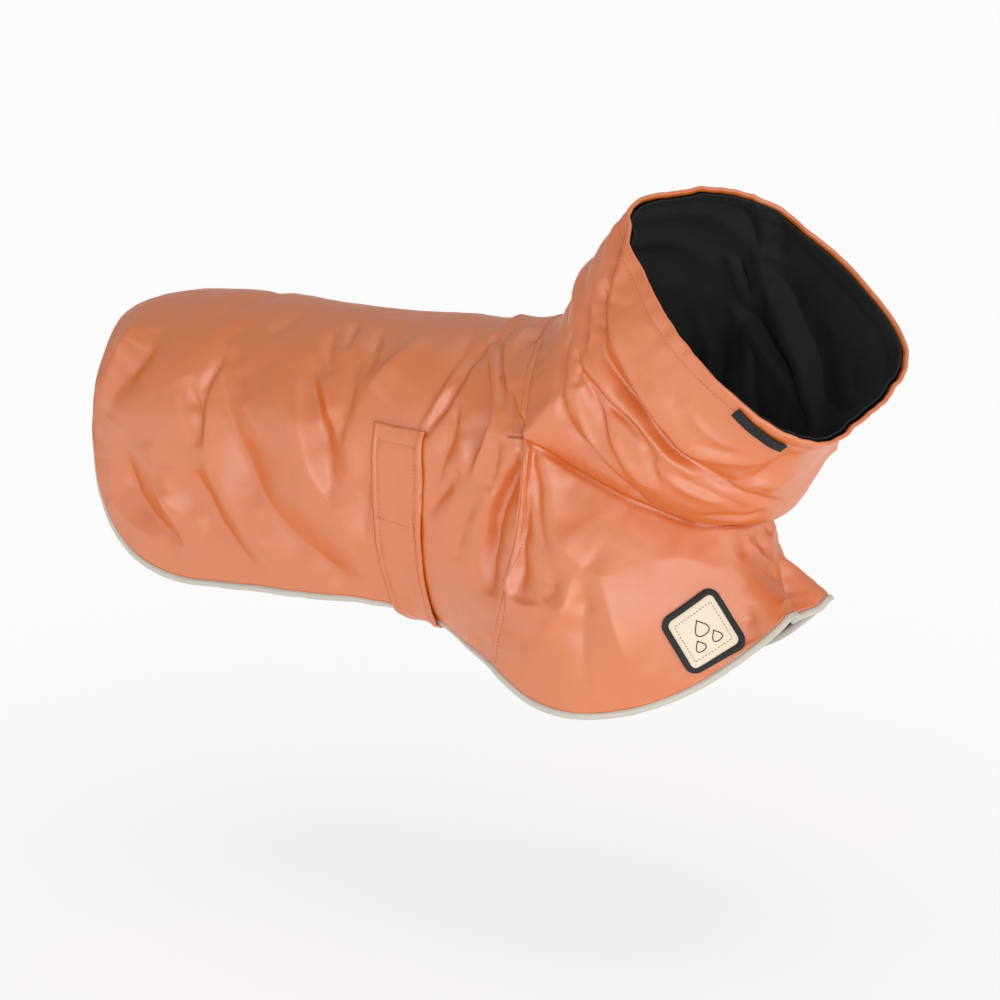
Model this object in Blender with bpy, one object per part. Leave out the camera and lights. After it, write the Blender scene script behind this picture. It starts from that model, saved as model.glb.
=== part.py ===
"""Dog raincoat, worn and filled out, with no wearer inside.

Sizes are in metres, +X is towards the neck, +Y is the coat's left side and +Z is up. The origin is on the
inner face of the back, on the spine just behind the withers, where the wearer's back holds the coat.
Each cloth piece is a wall: a grid of outer points worked out from its sections, and the same grid moved in.
A place on a piece is a row and a column of its grid, which may lie between two of them.
"""

import math
from collections import namedtuple

import bmesh
import bpy
import numpy as np

# Cloth and trim
SHELL = 0.0015
NECK_SHELL = 0.0012
NECK_LINING = 0.0010
STRAP_CLOTH = 0.0018
PATCH_CLOTH = 0.0012
SEAM_GAP = 0.0003
LAY_GAP = 0.0005  # between a panel and what lies on it
PIPING_WIDTH = 0.0050
PIPING_THICK = 0.0030
PIPING_SIDES = 6

# Plan of the coat
TAIL_X = -0.300
CORNER_LENGTH = 0.095  # the round of each rear corner, along the body
CORNER_DROP = 0.090  # and down the side
SHOULDER_X = 0.046
SHOULDER_SHARE = 0.43  # how far down the half section the neck seam turns forward

# Cells of each piece
CORNER_CELLS = 7
BACK_STEPS = (-0.184, -0.158, -0.134, -0.112, -0.091, -0.070, -0.050, -0.033, -0.016, 0.0, 0.016, 0.031)
YOKE_CELLS = 9  # from the spine down to the shoulder point
SIDE_CELLS = 13  # from the shoulder point down to the hem
CHEST_CELLS = 12  # from the shoulder round to the middle of the chest
NECK_CELLS = 11
SPINE = SIDE_CELLS + YOKE_CELLS  # the back's middle column

# Half sections of the back: height of the spine, half width, depth of the crown, how far the hem turns in,
# how far the section bows forward at mid side and leans forward at its hem, and the drop from spine to hem.
BackSection = namedtuple("BackSection", "x spine width crown tuck bow lean drop")
BACK_SECTIONS = (
    BackSection(x=-0.300, spine=-0.018, width=0.072, crown=0.060, tuck=0.000, bow=0.006, lean=0.010, drop=0.172),
    BackSection(x=-0.280, spine=-0.009, width=0.076, crown=0.067, tuck=0.002, bow=0.004, lean=0.006, drop=0.182),
    BackSection(x=-0.255, spine=-0.004, width=0.080, crown=0.078, tuck=0.004, bow=0.002, lean=0.002, drop=0.186),
    BackSection(x=-0.205, spine=0.001, width=0.084, crown=0.084, tuck=0.006, bow=0.000, lean=0.000, drop=0.190),
    BackSection(x=-0.120, spine=-0.001, width=0.086, crown=0.086, tuck=0.010, bow=0.000, lean=0.000, drop=0.185),
    BackSection(x=-0.070, spine=-0.001, width=0.084, crown=0.086, tuck=0.018, bow=0.000, lean=0.000, drop=0.187),
    BackSection(x=-0.033, spine=0.001, width=0.082, crown=0.082, tuck=0.032, bow=0.002, lean=0.000, drop=0.195),
    BackSection(x=0.000, spine=0.0015, width=0.086, crown=0.082, tuck=0.024, bow=0.010, lean=0.000, drop=0.202),
    BackSection(x=0.046, spine=0.008, width=0.094, crown=0.086, tuck=0.002, bow=0.024, lean=0.000, drop=0.214),
)
TUCK_POWER = 3.0  # the hem turns in sharply, low down
BOW_POWER = 1.5  # and the bow starts gently at the spine

# Ribs of the chest from the shoulder seam to the middle, on one side: hem, neck seam, how far the rib stands
# out between them, and how late it flares towards its hem.
ChestRib = namedtuple("ChestRib", "hem_x hem_y hem_z top_x top_y top_z full flare")
CHEST_RIBS = (
    ChestRib(0.078, -0.101, -0.221, 0.092, -0.075, -0.069, full=0.014, flare=1.0),
    ChestRib(0.112, -0.099, -0.227, 0.118, -0.069, -0.082, full=0.017, flare=1.0),
    ChestRib(0.150, -0.078, -0.222, 0.146, -0.056, -0.096, full=0.016, flare=1.1),
    ChestRib(0.187, -0.054, -0.202, 0.171, -0.039, -0.107, full=0.012, flare=1.4),
    ChestRib(0.231, -0.031, -0.158, 0.189, -0.023, -0.109, full=0.003, flare=2.8),
)
CHEST_MIDDLE = ChestRib(0.212, 0.000, -0.158, 0.194, 0.000, -0.112, full=-0.002, flare=2.0)

# The opening of the snood: its middle, the directions of its back and of its left, and its reach from the
# middle as it turns from back to left, front and right.
OPENING_MIDDLE = (0.201, 0.003, 0.025)
OPENING_BACK = (-0.725, 0.169, 0.668)
OPENING_LEFT = (0.262, 0.964, 0.040)
OpeningPoint = namedtuple("OpeningPoint", "turn reach")
OPENING = (
    OpeningPoint(turn=0, reach=0.106),
    OpeningPoint(turn=30, reach=0.106),
    OpeningPoint(turn=60, reach=0.096),
    OpeningPoint(turn=90, reach=0.094),
    OpeningPoint(turn=120, reach=0.100),
    OpeningPoint(turn=150, reach=0.090),
    OpeningPoint(turn=180, reach=0.091),
    OpeningPoint(turn=207, reach=0.108),
    OpeningPoint(turn=240, reach=0.098),
    OpeningPoint(turn=270, reach=0.092),
    OpeningPoint(turn=300, reach=0.097),
    OpeningPoint(turn=330, reach=0.115),
)

# How far the snood stands out of the straight line between its seam and its opening, going up it.
SnoodLevel = namedtuple("SnoodLevel", "up back side front")
SNOOD_LEVELS = (
    SnoodLevel(up=0.00, back=0.000, side=0.000, front=0.000),
    SnoodLevel(up=0.15, back=-0.004, side=0.003, front=0.008),
    SnoodLevel(up=0.35, back=-0.003, side=0.005, front=0.006),
    SnoodLevel(up=0.60, back=0.002, side=0.005, front=-0.002),
    SnoodLevel(up=0.85, back=0.001, side=0.002, front=-0.004),
    SnoodLevel(up=1.00, back=0.000, side=0.000, front=0.000),
)

# The largest folds of the near side, each from one place on its piece to another: how far the line between
# them bends aside in cells, how wide the fold is, and how high, which is negative for a trough.
Fold = namedtuple("Fold", "row column to_row to_column bend width height")
BACK_FOLDS = (
    Fold(8.2, 13.6, 13.6, 0.0, bend=1.3, width=0.012, height=-0.0045),  # the long drape behind the middle
    Fold(7.5, 12.2, 12.0, 0.0, bend=1.2, width=0.010, height=0.0035),
    Fold(11.0, 16.0, 12.8, 5.6, bend=-0.3, width=0.009, height=-0.0035),
    Fold(11.6, 18.4, 13.6, 8.6, bend=-0.3, width=0.009, height=0.0030),
    Fold(15.8, 12.6, 17.4, 19.0, bend=0.4, width=0.009, height=0.0030),  # up from the strap to the withers
    Fold(18.4, 10.5, 18.0, 1.5, bend=0.3, width=0.010, height=0.0035),  # beside the shoulder seam
    Fold(3.2, 10.0, 6.9, 1.5, bend=0.8, width=0.012, height=0.0030),
)
CHEST_FOLDS = (
    Fold(3.8, 9.6, 6.2, 0.0, bend=0.3, width=0.012, height=-0.0040),
    Fold(1.8, 8.6, 2.2, 0.0, bend=-0.3, width=0.010, height=0.0030),
)
SNOOD_FOLDS = (
    Fold(9.4, 35.6, 5.4, 26.0, bend=0.3, width=0.012, height=-0.0080),  # the deep roll round the neck
    Fold(6.8, 34.4, 3.8, 27.4, bend=0.2, width=0.009, height=-0.0045),
    Fold(5.6, 36.0, 1.2, 28.0, bend=0.4, width=0.009, height=-0.0060),
    Fold(6.0, 26.4, 8.8, 23.2, bend=0.0, width=0.010, height=-0.0055),
)
FAR_SIDE = 0.8  # the far side's folds are this much of the near side's
SEAM_HOLD = 0.014  # how far from a seam a fold reaches its full height

# What is sewn on
STRAP_ROWS = slice(14, 17)  # rows of the back that the strap crosses
STRAP_TOP = 13  # column of the back where its near end lies
STRAP_INSIDE = 3  # cells of the far side that its other end goes up inside
STRAP_CLEAR = 0.0014  # between the hem and the strap, so that the piping goes between them
BELLY_Y = (-0.036, -0.024, -0.012, 0.0, 0.012, 0.024, 0.036)
BELLY_Z = -0.2090
BELLY_RISE = 0.0030  # how much higher the strap is at the ends of that run
PATCH_PLACE = (7.75, 4.6)  # row and column of the chest
PATCH_SIZE = (0.043, 0.045)
PATCH_BORDER = 0.0042
PATCH_ROUND = 0.035  # how far its corners are drawn in
PATCH_TURN = 12.0
TAB_PLACE = (10.15, 26.4)  # row and column of the snood
TAB_SIZE = (0.038, 0.0075)


def smooth(knots, values, at):
    """A cubic through values at knots, with slopes from their neighbours, read at one or more places."""
    knots, values, at = np.asarray(knots, float), np.asarray(values, float), np.asarray(at, float)
    slopes = np.gradient(values, knots, axis=0)
    i = np.clip(np.searchsorted(knots, at) - 1, 0, len(knots) - 2)
    extra = (slice(None),) * at.ndim + (None,) * (values.ndim - 1)
    span = (knots[i + 1] - knots[i])[extra]
    t = (at - knots[i])[extra] / span
    start = values[i] * (2 * t**3 - 3 * t**2 + 1) + slopes[i] * span * (t**3 - 2 * t**2 + t)
    end = values[i + 1] * (3 * t**2 - 2 * t**3) + slopes[i + 1] * span * (t**3 - t**2)
    return start + end


def read(rows, key, at):
    """The row of a table at one value of its key column, between its rows."""
    knots = [getattr(row, key) for row in rows]
    return type(rows[0])(*smooth(knots, np.array(rows), at))


def along(points):
    """How far along a run of points each one is."""
    return np.concatenate([[0], np.cumsum(np.linalg.norm(np.diff(points, axis=0), axis=1))])


def respaced(points, shares):
    """The run of points again, at these shares of its length."""
    at = along(points)
    return np.stack([np.interp(np.asarray(shares) * at[-1], at, points[:, k]) for k in range(3)], axis=1)


def unit(vectors):
    return vectors / np.maximum(np.linalg.norm(vectors, axis=-1, keepdims=True), 1e-9)


def mirrored(points):
    return points * (1, -1, 1)


# ---------------------------------------------------------------- grids of outer points


def half_section(x):
    """Points up the near side of the back at one place along it, from the hem to the spine."""
    cut = read(BACK_SECTIONS, "x", x)
    into_corner = np.clip((TAIL_X + CORNER_LENGTH - x) / CORNER_LENGTH, 0, 1)
    hem = cut.drop - CORNER_DROP * (1 - math.sqrt(1 - into_corner**2))
    depth = hem * (1 - np.cos(np.linspace(0, math.pi / 2, 160)))
    arch = np.sqrt(1 - np.clip(1 - depth / cut.crown, 0, 1) ** 2)
    low = np.clip((depth - cut.crown) / (cut.drop - cut.crown), 0, None)
    width = cut.width * arch - cut.tuck * low**TUCK_POWER
    points = np.stack([np.full_like(depth, x), -width, cut.spine - depth], axis=1)
    share = np.clip(along(points) / along(points)[-1], 0, 1)
    points[:, 0] += cut.bow * np.sin(math.pi * share) ** BOW_POWER + cut.lean * share**2 * (3 - 2 * share)
    yoke = np.linspace(0, SHOULDER_SHARE, YOKE_CELLS + 1)
    side = np.linspace(SHOULDER_SHARE, 1, SIDE_CELLS + 1)[1:]
    return respaced(points, np.concatenate([yoke, side]))[::-1]


def back_grid():
    """Rows go from the tail to the shoulders, columns from the near hem over the spine to the far one."""
    corner = TAIL_X + CORNER_LENGTH * (1 - np.cos(np.linspace(0, math.pi / 2, CORNER_CELLS + 1)))
    halves = [half_section(x) for x in (*corner, *BACK_STEPS, SHOULDER_X)]
    return np.array([np.concatenate([half, mirrored(half[-2::-1])]) for half in halves])


def rib_points(rib):
    """Points up one rib of the chest, from its hem to the neck seam."""
    hem = np.array([rib.hem_x, rib.hem_y, rib.hem_z])
    top = np.array([rib.top_x, rib.top_y, rib.top_z])
    down = np.linspace(1, 0, SIDE_CELLS + 1)[:, None]
    share = np.concatenate([down**rib.flare, down**rib.flare, down], axis=1)
    outward = unit(np.array([rib.top_x - SHOULDER_X, rib.top_y, 0.0]))
    return top + (hem - top) * share + outward * rib.full * np.sin(math.pi * down)


def chest_grid(back):
    """Rows go from the near shoulder seam round to the far one, columns from the hem up to the neck."""
    near = [back[row, : SIDE_CELLS + 1] for row in (-3, -1)] + [rib_points(rib) for rib in CHEST_RIBS]
    ribs = np.array(near + [rib_points(CHEST_MIDDLE)] + [mirrored(rib) for rib in near[::-1]])
    steps = np.linalg.norm(np.diff(ribs, axis=0), axis=2).mean(axis=1)
    knots = np.concatenate([[0], np.cumsum(steps)])
    return smooth(knots, ribs, np.linspace(knots[1], knots[-2], 2 * CHEST_CELLS + 1))


def snood_grid(back, chest):
    """Rows go from the neck seam up to the opening, columns from the spine to the left and round."""
    front = back[-1]
    seam = np.concatenate([front[SPINE : SPINE + YOKE_CELLS], chest[::-1, -1], front[SIDE_CELLS + 1 : SPINE]])
    length = along(np.concatenate([seam, seam[:1]]))
    turn = 360 * length[:-1] / length[-1]
    knots = [point.turn for point in OPENING]
    reach = [point.reach for point in OPENING]
    wrapped = [knots[-1] - 360] + knots + [360, 390]
    reach = smooth(wrapped, reach[-1:] + reach + reach[:2], turn)[:, None]
    turn = np.radians(turn)
    outward = np.cos(turn)[:, None] * OPENING_BACK + np.sin(turn)[:, None] * OPENING_LEFT
    opening = np.array(OPENING_MIDDLE) + outward * reach
    rows = []
    for up in np.linspace(0, 1, NECK_CELLS + 1):
        level = read(SNOOD_LEVELS, "up", up)
        ends = level.back * np.clip(np.cos(turn), 0, 1) + level.front * np.clip(-np.cos(turn), 0, 1)
        puff = ends + level.side * np.abs(np.sin(turn))
        rows.append(seam + (opening - seam) * up + outward * puff[:, None])
    return np.array(rows)


def normals(points, closed=False):
    """The outward direction at each point of a grid; closed says that its rows join end to end."""
    across = np.roll(points, -1, 1) - np.roll(points, 1, 1) if closed else np.gradient(points, axis=1)
    return unit(np.cross(np.gradient(points, axis=0), across))


def read_grid(grid, place, closed=False):
    """The value of a grid at a place, between its four nearest points."""
    row = np.clip(place[0], 0, len(grid) - 1.000001)
    column = place[1] % grid.shape[1] if closed else np.clip(place[1], 0, grid.shape[1] - 1.000001)
    i, j = int(row), int(column)
    right = (j + 1) % grid.shape[1]
    lower = grid[i, j] * (1 - column + j) + grid[i, right] * (column - j)
    upper = grid[i + 1, j] * (1 - column + j) + grid[i + 1, right] * (column - j)
    return lower * (1 - row + i) + upper * (row - i)


def folded(points, folds, seams, closed=False):
    """The grid with its folds pressed in or out, none of which moves a seam."""
    held = np.min([np.linalg.norm(points[:, :, None] - seam, axis=3).min(axis=2) for seam in seams], axis=0)
    ease = np.clip(held / SEAM_HOLD, 0, 1)
    rise = np.zeros(points.shape[:2])
    for fold in folds:
        start, end = np.array([fold.row, fold.column]), np.array([fold.to_row, fold.to_column])
        side = unit(np.array([end[1] - start[1], start[0] - end[0]]))
        shares = np.linspace(0, 1, 24)
        line = [start + (end - start) * s + side * fold.bend * math.sin(math.pi * s) for s in shares]
        line = np.array([read_grid(points, place, closed) for place in line])
        away = np.linalg.norm(points[:, :, None] - line, axis=3)
        strength = np.sin(math.pi * np.clip(shares, 0.06, 0.94)) ** 0.6
        rise += fold.height * (np.exp(-((away / fold.width) ** 2)) * strength).max(axis=2)
    return points + normals(points, closed) * (rise * ease**2 * (3 - 2 * ease))[:, :, None]


def both_sides(folds, axis, last):
    """The near side's folds and the far side's, which are a little lower and further on."""
    far = []
    for fold in folds:
        if axis == 0:
            places = dict(row=last - fold.row, to_row=last - fold.to_row, bend=-fold.bend)
        else:
            places = dict(column=last - fold.column, to_column=last - fold.to_column, bend=-fold.bend)
        far.append(fold._replace(**places, height=fold.height * FAR_SIDE))
    return [*folds, *far]


def joined(grids):
    """The normals of several grids, the same on both sides of each seam that they share."""
    sums = {}
    for points, directions in grids:
        for point, direction in zip(points.reshape(-1, 3), directions.reshape(-1, 3)):
            key = tuple(np.round(point, 6))
            sums[key] = sums.get(key, 0) + direction
    shared = []
    for points, _ in grids:
        found = [sums[tuple(key)] for key in np.round(points.reshape(-1, 3), 6)]
        shared.append(unit(np.array(found)).reshape(points.shape))
    return shared


def trimmed(points, directions, thick, edges):
    """Outer and inner points of a wall, drawn back from its seams by half their gap."""
    shift = np.zeros_like(points)
    for axis, end in edges:
        edge = np.take(points, end, axis)
        inside = np.take(points, 1 if end == 0 else end - 1, axis)
        move = unit(inside - edge) * SEAM_GAP / 2
        if axis == 0:
            shift[end] += move
        else:
            shift[:, end] += move
    return points + shift, points - directions * thick + shift


# ---------------------------------------------------------------- bodies


def add_object(name, shape, coat):
    mesh = bpy.data.meshes.new(name)
    bmesh.ops.triangulate(shape, faces=shape.faces, quad_method="FIXED")
    bmesh.ops.recalc_face_normals(shape, faces=shape.faces)
    shape.to_mesh(mesh)
    shape.free()
    mesh.shade_smooth()
    mesh.materials.append(coat)
    thing = bpy.data.objects.new(name, mesh)
    bpy.context.scene.collection.objects.link(thing)
    return thing


def wall(name, skins, coat, closed=False):
    """A closed mesh between two grids of points; closed says that their rows join end to end."""
    shape = bmesh.new()
    outer, inner = [[[shape.verts.new(point) for point in row] for row in grid] for grid in skins]
    rows, columns = len(outer), len(outer[0])
    last = columns if closed else columns - 1
    for i in range(rows - 1):
        for j in range(last):
            k = (j + 1) % columns
            shape.faces.new((outer[i][j], outer[i + 1][j], outer[i + 1][k], outer[i][k]))
            shape.faces.new((inner[i][j], inner[i][k], inner[i + 1][k], inner[i + 1][j]))
    for j in range(last):
        k = (j + 1) % columns
        shape.faces.new((outer[0][j], outer[0][k], inner[0][k], inner[0][j]))
        shape.faces.new((outer[-1][j], inner[-1][j], inner[-1][k], outer[-1][k]))
    if not closed:
        for i in range(rows - 1):
            shape.faces.new((outer[i][0], inner[i][0], inner[i + 1][0], outer[i + 1][0]))
            shape.faces.new((outer[i][-1], outer[i + 1][-1], inner[i + 1][-1], inner[i][-1]))
    return add_object(name, shape, coat)


def material(name, colour, roughness):
    made = bpy.data.materials.new(name)
    made.use_nodes = True
    shader = made.node_tree.nodes["Principled BSDF"]
    shader.inputs["Base Color"].default_value = (*colour, 1)
    shader.inputs["Roughness"].default_value = roughness
    return made


def hem_run(back, chest, back_out, chest_out):
    """The closed run of the free edge, with the outward direction at each of its points."""
    run = [back[::-1, 0], back[0, 1:-1], back[:, -1], chest[-2:0:-1, 0]]
    out = [back_out[::-1, 0], back_out[0, 1:-1], back_out[:, -1], chest_out[-2:0:-1, 0]]
    return np.concatenate(run), np.concatenate(out)


def piping(run, out, coat):
    """A flat tube round the free edge, just off it."""
    middle = run - out * SHELL / 2
    beyond = unit(np.cross(out, np.roll(middle, -1, 0) - np.roll(middle, 1, 0)))
    middle = middle + beyond * (SEAM_GAP + PIPING_WIDTH / 2)
    turns = [2 * math.pi * (k + 0.5) / PIPING_SIDES for k in range(PIPING_SIDES)]
    widest = math.cos(math.pi / PIPING_SIDES)
    rings = [
        middle
        + beyond * math.cos(turn) * PIPING_WIDTH / 2 / widest
        + out * math.sin(turn) * PIPING_THICK / 2
        for turn in turns
    ]
    shape = bmesh.new()
    loops = [[shape.verts.new(point) for point in ring] for ring in rings]
    count = len(run)
    for a in range(PIPING_SIDES):
        one, two = loops[a], loops[(a + 1) % PIPING_SIDES]
        for k in range(count):
            shape.faces.new((one[k], one[(k + 1) % count], two[(k + 1) % count], two[k]))
    return add_object("hem_piping", shape, coat)


def laid_on(points, directions, places, gap, thick, closed=False):
    """Outer and inner points of something flat that lies on a piece, at a grid of places on it."""
    on = np.array([[read_grid(points, place, closed) for place in row] for row in places])
    out = unit(np.array([[read_grid(directions, place, closed) for place in row] for row in places]))
    return on + out * (gap + thick), on + out * gap


def spread(points, place, turn, shape, closed=False):
    """Places on a piece for flat points given in metres round one place, turned on the piece by an angle."""
    steps = np.array([(0.5, 0.0), (0.0, 0.5)])
    sides = []
    for step in steps:
        sides.append(read_grid(points, place + step, closed) - read_grid(points, place - step, closed))
    first = unit(sides[0])
    second = np.cross(unit(np.cross(*sides)), first)
    cos, sin = math.cos(math.radians(turn)), math.sin(math.radians(turn))
    axes = np.array([first * cos + second * sin, second * cos - first * sin])
    to_cells = np.linalg.pinv(np.stack(sides, axis=1))
    middle = read_grid(points, place, closed)
    places = []
    for flat in np.reshape(shape, (-1, 2)):
        at = np.array(place)
        for _ in range(12):
            at = at + to_cells @ (middle + flat @ axes - read_grid(points, at, closed)) * 0.8
        places.append(at)
    return np.reshape(places, np.shape(shape))


def rectangle(width, height, rows, columns):
    across, up = np.linspace(-width / 2, width / 2, rows), np.linspace(-height / 2, height / 2, columns)
    return np.array([[(a, b) for b in up] for a in across])


def border_rings(width, height, border, side):
    """Flat points of a rectangular border, in rings from its inner edge to its outer one."""
    corners = np.array([(-1, -1), (1, -1), (1, 1), (-1, 1)])
    sides = zip(corners, np.roll(corners, -1, 0))
    around = np.concatenate([np.linspace(start, end, side, endpoint=False) for start, end in sides])
    at_corner = (np.abs(around).min(axis=1) > 0.99)[:, None]
    rings = []
    for grow in (0.0, 0.5, 1.0):
        half = (width / 2 - border * (1 - grow), height / 2 - border * (1 - grow))
        rings.append(around * half * np.where(at_corner, 1 - PATCH_ROUND * grow, 1))
    return np.array(rings)


def past(before, hem):
    """Points as far on from the hem as clears its piping."""
    return hem + unit(hem - before) * (SEAM_GAP + PIPING_WIDTH + LAY_GAP)


def strap_grid(back, out):
    """The middle of the strap's thickness: down the near side, under the belly, and up inside the far side."""
    near, near_out = back[STRAP_ROWS, STRAP_TOP::-1], out[STRAP_ROWS, STRAP_TOP::-1]
    far, far_out = back[STRAP_ROWS, : -STRAP_INSIDE - 2 : -1], out[STRAP_ROWS, : -STRAP_INSIDE - 2 : -1]
    by_hem = np.exp(-np.arange(STRAP_TOP, -1, -1) / 1.2)[None, :, None]
    near = near + near_out * (LAY_GAP + STRAP_CLOTH / 2 + STRAP_CLEAR * by_hem)
    by_hem = np.exp(-np.arange(STRAP_INSIDE + 1) / 1.2)[None, :, None]
    far = far - far_out * (SHELL + LAY_GAP + STRAP_CLOTH / 2 + STRAP_CLEAR * by_hem)
    near = np.insert(near, len(near[0]), past(near[:, -2], near[:, -1]), axis=1)
    far = np.insert(far, 0, past(far[:, 1], far[:, 0]), axis=1)
    y = np.array(BELLY_Y)
    z = BELLY_Z + BELLY_RISE * (y / y[-1]) ** 2
    belly = np.array([np.stack([np.full(len(y), x), y, z], axis=1) for x in near[:, -1, 0]])
    return np.concatenate([near, belly, far], axis=1)


def main():
    for old in list(bpy.data.objects):
        bpy.data.objects.remove(old)
    coral = material("coral_shell", (0.68, 0.22, 0.11), 0.5)
    black = material("black_lining", (0.01, 0.01, 0.012), 0.8)
    silver = material("reflective_piping", (0.6, 0.57, 0.5), 0.5)
    cream = material("cream_twill", (0.86, 0.73, 0.56), 0.8)

    back = back_grid()
    chest = chest_grid(back)
    snood = snood_grid(back, chest)
    back = folded(back, both_sides(BACK_FOLDS, 1, 2 * SPINE), [back[-1]])
    seams = [chest[0], chest[-1], chest[:, -1]]
    chest = folded(chest, both_sides(CHEST_FOLDS, 0, 2 * CHEST_CELLS), seams)
    around = snood.shape[1]
    snood = folded(snood, both_sides(SNOOD_FOLDS, 1, around), [snood[0]], True)
    out = joined([(back, normals(back)), (chest, normals(chest)), (snood, normals(snood, True))])
    back_out, chest_out, snood_out = out

    wall("back_panel", trimmed(back, back_out, SHELL, [(0, len(back) - 1)]), coral)
    chest_edges = [(0, 0), (0, len(chest) - 1), (1, SIDE_CELLS)]
    wall("chest_panel", trimmed(chest, chest_out, SHELL, chest_edges), coral)
    wall("snood", trimmed(snood, snood_out, NECK_SHELL, [(0, 0)]), coral, True)
    inside = snood - snood_out * (NECK_SHELL + LAY_GAP)
    lining = inside[1:], (inside - snood_out * NECK_LINING)[1:]
    wall("snood_lining", lining, black, True)
    piping(*hem_run(back, chest, back_out, chest_out), silver)

    strap = strap_grid(back, back_out)
    strap_out = -normals(strap)
    skins = strap + strap_out * STRAP_CLOTH / 2, strap - strap_out * STRAP_CLOTH / 2
    wall("belly_strap", skins, coral)

    face = [size - 2 * (PATCH_BORDER + SEAM_GAP) for size in PATCH_SIZE]
    places = spread(chest, np.array(PATCH_PLACE), PATCH_TURN, rectangle(*face, 6, 6))
    wall("patch_face", laid_on(chest, chest_out, places, LAY_GAP, PATCH_CLOTH), cream)
    places = spread(chest, np.array(PATCH_PLACE), PATCH_TURN, border_rings(*PATCH_SIZE, PATCH_BORDER, 6))
    wall("patch_border", laid_on(chest, chest_out, places, LAY_GAP, PATCH_CLOTH * 1.5), black, True)
    places = spread(snood, np.array(TAB_PLACE), 90.0, rectangle(*TAB_SIZE, 12, 3), True)
    wall("snood_tab", laid_on(snood, snood_out, places, LAY_GAP, PATCH_CLOTH, True), black)


main()
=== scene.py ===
# %% [markdown]
# # A dog raincoat, worn and filled out
#
# The coat is coral nylon over the back and the chest, with a tall snood collar that is lined in black, a
# strap under the belly and a silver binding round the hem. It is empty, and keeps the hollow form of a
# coat in use.
#
# The plain solids of the coat come in first, as a fixed frame. Each cloth piece is then made again as a
# fine grid on the same sections, and its creases, seams, stitches and trims are added to that grid. A
# sculpted mesh could look the same, but a grid with named folds can be read, changed and made again in a
# few seconds.

# %% Load the frame
import copy
import math
from collections import namedtuple

import bmesh
import bpy
import numpy as np
from mathutils import Matrix, Vector, noise


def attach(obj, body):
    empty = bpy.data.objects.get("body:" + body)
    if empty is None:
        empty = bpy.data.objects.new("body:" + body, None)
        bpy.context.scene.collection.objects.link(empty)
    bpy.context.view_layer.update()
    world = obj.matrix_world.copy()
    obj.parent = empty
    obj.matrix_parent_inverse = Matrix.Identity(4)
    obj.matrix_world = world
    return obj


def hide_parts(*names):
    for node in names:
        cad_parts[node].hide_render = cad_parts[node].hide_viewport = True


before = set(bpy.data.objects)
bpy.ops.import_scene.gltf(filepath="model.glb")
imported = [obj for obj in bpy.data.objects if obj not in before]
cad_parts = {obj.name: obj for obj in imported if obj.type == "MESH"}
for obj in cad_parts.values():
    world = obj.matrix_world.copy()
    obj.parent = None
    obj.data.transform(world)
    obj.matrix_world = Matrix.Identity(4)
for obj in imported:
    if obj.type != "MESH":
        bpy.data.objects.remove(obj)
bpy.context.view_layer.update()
print("solids:", sorted(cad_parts))

# %% [markdown]
# ## Camera, floor and light
#
# A long lens from two metres away keeps the coat's sides nearly parallel, as in a catalogue picture. The
# camera could be dragged into place, but its turn round the coat and its height angle say more, and can
# be measured.

# %% Camera
TURN = math.radians(30)
RISE = math.radians(15)
DISTANCE = 2.0
LENS = 105.9
SENSOR = 36
LOOK_AT = Vector((0.0, 0.0, -0.1235))

towards_camera = Vector((math.sin(TURN) * math.cos(RISE), -math.cos(TURN) * math.cos(RISE), math.sin(RISE)))
camera = bpy.data.objects.new("camera", bpy.data.cameras.new("camera"))
bpy.context.scene.collection.objects.link(camera)
camera.data.lens = LENS
camera.data.sensor_width = SENSOR
camera.location = LOOK_AT + towards_camera * DISTANCE
camera.rotation_mode = "QUATERNION"
camera.rotation_quaternion = towards_camera.to_track_quat("Z", "Y")
bpy.context.scene.camera = camera
print("camera at", [round(x, 3) for x in camera.location])

# %% [markdown]
# The floor is one large pale square, well below the hem. It glows a little, which keeps it as pale as
# paper. Two helpers come with it: a material of one colour, and an object from a bmesh. All the pieces
# use them.

# %% Floor
FLOOR_Z = -0.403
FLOOR_SIZE = 12  # half its side
FLOOR_GREY = (0.93, 0.93, 0.93)
FLOOR_GLOW = 0.48


def plain_material(name, colour, roughness):
    """A Principled material with one colour, for what needs no texture."""
    made = bpy.data.materials.new(name)
    made.use_nodes = True
    shader = made.node_tree.nodes["Principled BSDF"]
    shader.inputs["Base Color"].default_value = (*colour, 1)
    shader.inputs["Roughness"].default_value = roughness
    return made


def object_from(name, shape, *coats):
    """A new object with this bmesh for its mesh, shaded smooth."""
    mesh = bpy.data.meshes.new(name)
    shape.to_mesh(mesh)
    shape.free()
    mesh.shade_smooth()
    for coat in coats:
        mesh.materials.append(coat)
    made = bpy.data.objects.new(name, mesh)
    bpy.context.scene.collection.objects.link(made)
    return made


shape = bmesh.new()
down_to_floor = Matrix.Translation((0, 0, FLOOR_Z))
bmesh.ops.create_grid(shape, x_segments=1, y_segments=1, size=FLOOR_SIZE, matrix=down_to_floor)
pale_floor = plain_material("pale_floor", FLOOR_GREY, 0.9)
shader = pale_floor.node_tree.nodes["Principled BSDF"]
shader.inputs["Emission Color"].default_value = (1, 1, 1, 1)
shader.inputs["Emission Strength"].default_value = FLOOR_GLOW
floor = object_from("floor", shape, pale_floor)
print("floor at", FLOOR_Z)

# %% [markdown]
# Satin shows its folds by what it mirrors, so the lamps are large and low: the key stands beside the
# camera, one more before the chest, a weaker one towards the tail, and one above the far side. Sun lamps
# would be simpler, but their shadows are hard. An area lamp lights only what is in front of it, which
# would draw a hard edge across the floor, so light linking keeps the floor out of their light.

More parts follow.
